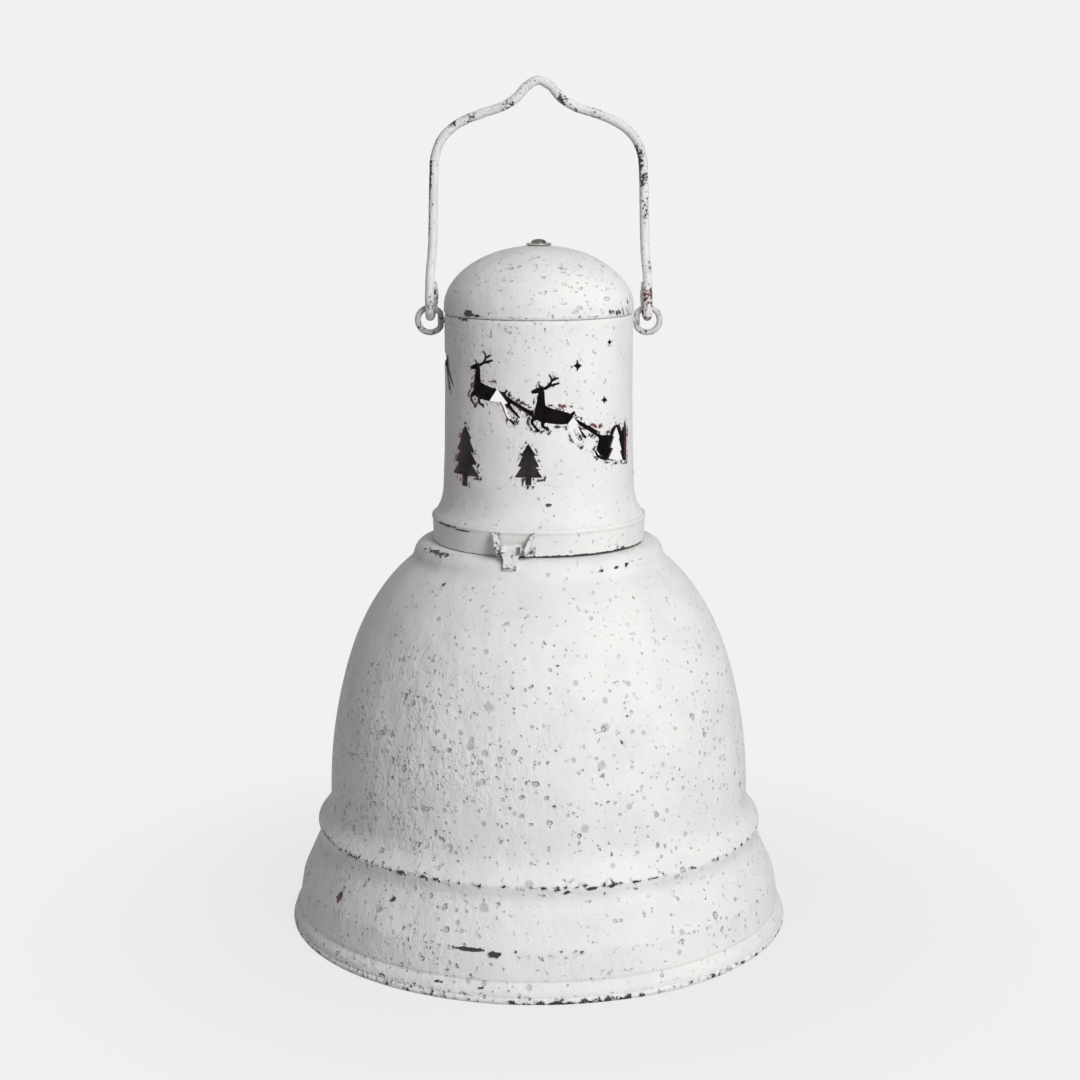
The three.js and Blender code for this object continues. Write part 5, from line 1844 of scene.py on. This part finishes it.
@dataclass
class EyesAndBail:
    """The two ring eyes and the wire bail that hooks into them."""

    eye_height: float = 240.8
    eye_reach: float = 42.3
    ring: float = 4.8
    ring_wire: float = 1.15
    drum_radius: float = 36.7
    wire: float = 1.75
    hook: float = 3.4
    hook_return: float = 8.5
    rise: float = 86.4
    draw_in: float = 2.0
    right_bend: float = 1.0
    left_bend: float = 1.4
    wire_sides: int = 20
    ring_sides: int = 18
    ring_steps: int = 56
    # Spread, drop and lean of the points above a hook, then reach and rise of the bow as shares
    uprights: tuple[Place, ...] = ((1.9, -0.15, 0.92), (1.6, -0.7, 0.45), (1, -1.6, 0.1))
    bow: tuple[Point, ...] = (
        (1, 0.585), (0.984, 0.675), (0.91, 0.753), (0.765, 0.812),
        (0.545, 0.856), (0.345, 0.886), (0.21, 0.925), (0.115, 0.974),
    )

    @property
    def axis_height(self) -> float:
        """Height of the line that the bail turns about."""
        return self.eye_height + self.ring

    def half_line(self, turned_in: float) -> list[Place]:
        """Points of the right half of the bail, from the hook's end to the peak.

        Args:
            turned_in: How far the end of the hook is bent towards the cap.

        Returns:
            The points, in millimetres.
        """
        axis = self.axis_height
        points: list[Place] = [
            (self.eye_reach - turned_in * 0.7, self.hook * 0.4, axis + self.hook_return + 1),
            (self.eye_reach - turned_in, self.hook * 0.85, axis + 4),
        ]
        for degrees in range(0, 181, 30):
            a = math.radians(degrees)
            x = self.eye_reach - 0.6 * turned_in * max(0.0, 1 - degrees / 90)
            points.append((x, self.hook * math.cos(a), axis - self.hook * math.sin(a)))
        half = self.eye_reach - self.draw_in
        for i, (spread, drop, lean) in enumerate(self.uprights):
            height = axis + 3 + (i + 0.6) * 7.5
            points.append((half + spread + drop * 0.1, -self.hook * lean, height))
        points += [(half * across, 0.0, axis + self.rise * up) for across, up in self.bow]
        return points

    def build(self, finishes: Finishes) -> None:
        """Makes the bail, the rings with their shanks, and the nuts inside."""
        recipe = wire_recipe()
        peak = (0.0, 0.0, self.axis_height + self.rise)
        left = [(-x, y, z) for x, y, z in reversed(self.half_line(self.left_bend))]
        line = through([*self.half_line(self.right_bend), peak, *left], 9)
        bail = recipe.make(
            "bail_wire",
            line_mesh("bail_line", line),
            {"Radius": self.wire * MM, "Sides": self.wire_sides, "Material": finishes.wire_paint},
        )
        lumpy(bail, 0.14, 2.4)
        spots = [WornSpot(*spot) for spot in BAIL_SPOTS]

        def wear(point: Vector) -> float:
            """The strongest spot at a point, over a light wear that is more at the back."""
            under = 0.1 if point.y > 0.5 else 0.0
            return max(0.08 + under, *(s.near(point) for s in spots))

        mark(bail, WEAR, wear)
        mark(bail, PRIMER, lambda p: 0.7 if p.x > 20 and p.z < 262 else 0.0)
        mark(bail, PITTING, lambda p: 0.08)
        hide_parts("bail")
        dress(bail, "bail", "worn_paint", finishes.wire_paint)
        for side, sign in (("right", 1), ("left", -1)):
            self.build_eye(finishes, recipe, side, sign)

    def build_eye(self, finishes: Finishes, recipe: Recipe, side: str, sign: int) -> None:
        """Makes one ring eye with its shank, and its nut.

        Args:
            finishes: The materials.
            recipe: The wire recipe.
            side: Name of the side.
            sign: 1 for the right and -1 for the left.
        """
        low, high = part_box(f"eye_{side}")
        inner_end = (low.x if sign > 0 else high.x) / MM
        flat = self.drum_radius + 0.32 + self.ring_wire
        ring = []
        for i in range(self.ring_steps):
            a = 2 * math.pi * i / self.ring_steps
            x = max(self.eye_reach + self.ring * math.cos(a), flat)
            ring.append(Vector((sign * x, 0.0, self.eye_height + self.ring * math.sin(a))))
        wire = {"Radius": self.ring_wire * MM, "Sides": self.ring_sides}
        wire["Material"] = finishes.ring_paint
        loop = line_mesh(f"eye_line_{side}", ring, closed=True)
        hoop = recipe.make(f"eye_hoop_{side}", loop, wire)
        span = sign * (self.eye_reach - self.ring) - inner_end
        stem = [Vector((inner_end + span * t, 0.0, self.eye_height)) for t in (0, 0.5, 1)]
        shank = recipe.make(f"eye_shank_{side}", line_mesh(f"shank_line_{side}", stem), wire)
        combine(hoop, shank, "UNION")
        shade(hoop.data, 60.0)
        mark(hoop, WEAR, lambda p: 0.12 + 0.5 * max(0.0, noise.noise(p / 3)))
        mark(hoop, PITTING, lambda p: 0.15)
        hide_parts(f"eye_{side}")
        dress(hoop, "head", "worn_paint", finishes.ring_paint)
        nut = f"eye_nut_{side}"
        edged(f"{nut}_edged", nut, 0.2, ("head", "steel"), finishes.steel)


@dataclass
class TipHinge:
    """The two claw ears on the band, the leaf on the shoulder and the pin."""

    azimuth: float = -11.0
    pin_height: float = 158.2
    left_lean: float = 0.4
    right_lean: float = 0.3
    left_shift: float = -0.5
    right_shift: float = -1.4
    leaf_middle: float = -1.3
    leaf_spread: float = 0.5
    leaf_sink: float = 0.7

    def build(self, finishes: Finishes) -> None:
        """Makes the hinge."""
        across = at_azimuth(self.azimuth)[1]
        for side, lean, shift in (
            ("left", -self.left_lean, self.left_shift),
            ("right", self.right_lean, self.right_shift),
        ):
            ear = softened(f"claw_ear_{side}", f"hinge_ear_{side}", 0.35, 3)
            for vertex in ear.data.vertices:
                above_pin = max(0.0, vertex.co.z - self.pin_height * MM)
                vertex.co += across * (lean * above_pin + shift * MM)
            lumpy(ear, 0.35, 2.2)
            mark(ear, WEAR, lambda p: 0.2 + 0.9 * max(0.0, noise.noise(p / 3.2)))
            mark(ear, PITTING, lambda p: 0.2)
            mark(ear, PRIMER, lambda p: 0.2)
            dress(ear, "head", "white_paint", finishes.head_paint)
        leaf = softened("hinge_leaf_bent", "hinge_leaf", 0.3, 2)
        for vertex in leaf.data.vertices:
            aside = vertex.co.dot(across) - self.leaf_middle * MM
            above = max(0.0, min(1.0, (vertex.co.z / MM - self.pin_height + 2.0) / 1.2))
            vertex.co += across * (aside * self.leaf_spread * above)
            vertex.co.z -= self.leaf_sink * MM * (1 - above)
        lumpy(leaf, 0.2, 2.4)
        mark(leaf, WEAR, lambda p: 0.15)
        mark(leaf, PITTING, lambda p: 0.2)
        dress(leaf, "bell", "white_paint", finishes.head_paint)
        ride = ("bell", "worn_paint")
        edged("hinge_pin_headed", "hinge_pin", 0.2, ride, finishes.ring_paint, 0.4)


# Studio


@dataclass
class Studio:
    """Camera, soft lights, pale floor and background."""

    eye: Place = (0.0005, -0.8027, 0.3078)
    pitch: float = 10.88
    lens: float = 68.53
    background: float = 0.879
    ambient: float = 0.13
    aim: Place = (0, 0, 0.15)
    # Name, place, size and power of each lamp
    lamps: tuple[tuple[str, Place, float, float], ...] = (
        ("key_lamp", (0.69, -1.11, 0.8), 0.7, 17.6),
        ("top_lamp", (0.15, 0.1, 1.5), 1.0, 2.7),
        ("fill_lamp", (-1.4, -0.5, 0.5), 1.0, 1.1),
    )
    floor_reach: float = 14.0
    floor_grey: float = 0.55
    # Distances between which the floor fades, and how much of its own shading it shows before
    shadow_reach: Point = (0.08, 0.26)
    shadow_share: float = 0.12

    def camera(self) -> None:
        """Places the camera at the photograph's viewpoint."""
        data = bpy.data.cameras.new("studio_camera")
        data.lens, data.sensor_width, data.sensor_fit = self.lens, 36.0, "HORIZONTAL"
        data.clip_start, data.clip_end = 0.01, 60.0
        camera = bpy.data.objects.new("studio_camera", data)
        camera.location = self.eye
        camera.rotation_euler = (math.radians(90 - self.pitch), 0.0, 0.0)
        bpy.context.scene.collection.objects.link(camera)
        bpy.context.scene.camera = camera

    def lamp(self, name: str, place: Place, size: float, power: float) -> None:
        """Adds one soft lamp that looks at the lantern.

        Args:
            name: Name of the lamp.
            place: Where it stands.
            size: Side of its square face.
            power: Power in watts.
        """
        data = bpy.data.lights.new(name, "AREA")
        data.shape, data.size, data.energy = "SQUARE", size, power
        lamp = bpy.data.objects.new(name, data)
        lamp.location = place
        look = Vector(self.aim) - Vector(place)
        lamp.rotation_euler = look.to_track_quat("-Z", "Y").to_euler()
        bpy.context.scene.collection.objects.link(lamp)

    def world(self) -> None:
        """Lights the scene softly and shows the pale background."""
        world = bpy.data.worlds.new("studio_world")
        world.use_nodes = True
        g = Graph(world.node_tree)
        backdrop = world.node_tree.nodes["Background"]
        strength = g.sum("MULTIPLY_ADD", g.seen(), self.background - self.ambient, self.ambient)
        g.tree.links.new(strength, backdrop.inputs["Strength"])
        backdrop.inputs["Color"].default_value = (1.0, 1.0, 1.0, 1.0)
        bpy.context.scene.world = world

    def floor(self) -> None:
        """Lays a pale floor that keeps a faint shadow and fades into the background."""
        mesh = bpy.data.meshes.new("studio_floor")
        half, grey = self.floor_reach, self.floor_grey
        corners = [(-half, -half, 0), (half, -half, 0), (half, half, 0), (-half, half, 0)]
        mesh.from_pydata(corners, [], [(0, 1, 2, 3)])
        floor = new_piece("studio_floor", mesh)
        material, g, shader = start_material("floor_white")
        shader.inputs["Base Color"].default_value = (grey, grey, grey, 1.0)
        shader.inputs["Roughness"].default_value = 0.9
        shader.inputs["Specular IOR Level"].default_value = 0.1
        light = {"Color": (1.0, 1.0, 1.0, 1.0), "Strength": self.background}
        glow = g.node("ShaderNodeEmission", light)
        away = g.ramp(g.vector("LENGTH", g.place()), *self.shadow_reach)
        share = g.sum("MULTIPLY_ADD", away, self.shadow_share, 1 - self.shadow_share)
        share = g.sum("MULTIPLY", g.seen(), share)
        blend = g.node("ShaderNodeMixShader", {0: share, 1: shader.outputs[0], 2: glow.outputs[0]})
        end = material.node_tree.nodes["Material Output"]
        g.tree.links.new(blend.outputs[0], end.inputs["Surface"])
        mesh.materials.append(material)

    def build(self) -> None:
        """Sets up the whole studio."""
        bpy.context.scene.view_settings.view_transform = "Standard"
        self.camera()
        for name, place, size, power in self.lamps:
            self.lamp(name, place, size, power)
        self.world()
        self.floor()


@dataclass
class Lantern:
    """The whole lantern, sub-assembly by sub-assembly."""

    finishes: Finishes = field(default_factory=Finishes)

    def build(self) -> None:
        """Builds every sub-assembly in order."""
        for kind in (
            BellShade, NeckAndTray, LampUnit, PiercedDrum, HeadBand, DomeCap, EyesAndBail, TipHinge
        ):
            LOG.info("building %s", kind.__name__)
            kind().build(self.finishes)


def main() -> None:
    """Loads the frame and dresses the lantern."""
    logging.basicConfig(level=logging.INFO, format="%(name)s: %(message)s")
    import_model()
    Studio().build()
    Lantern().build()


if __name__ == "__main__":
    main()
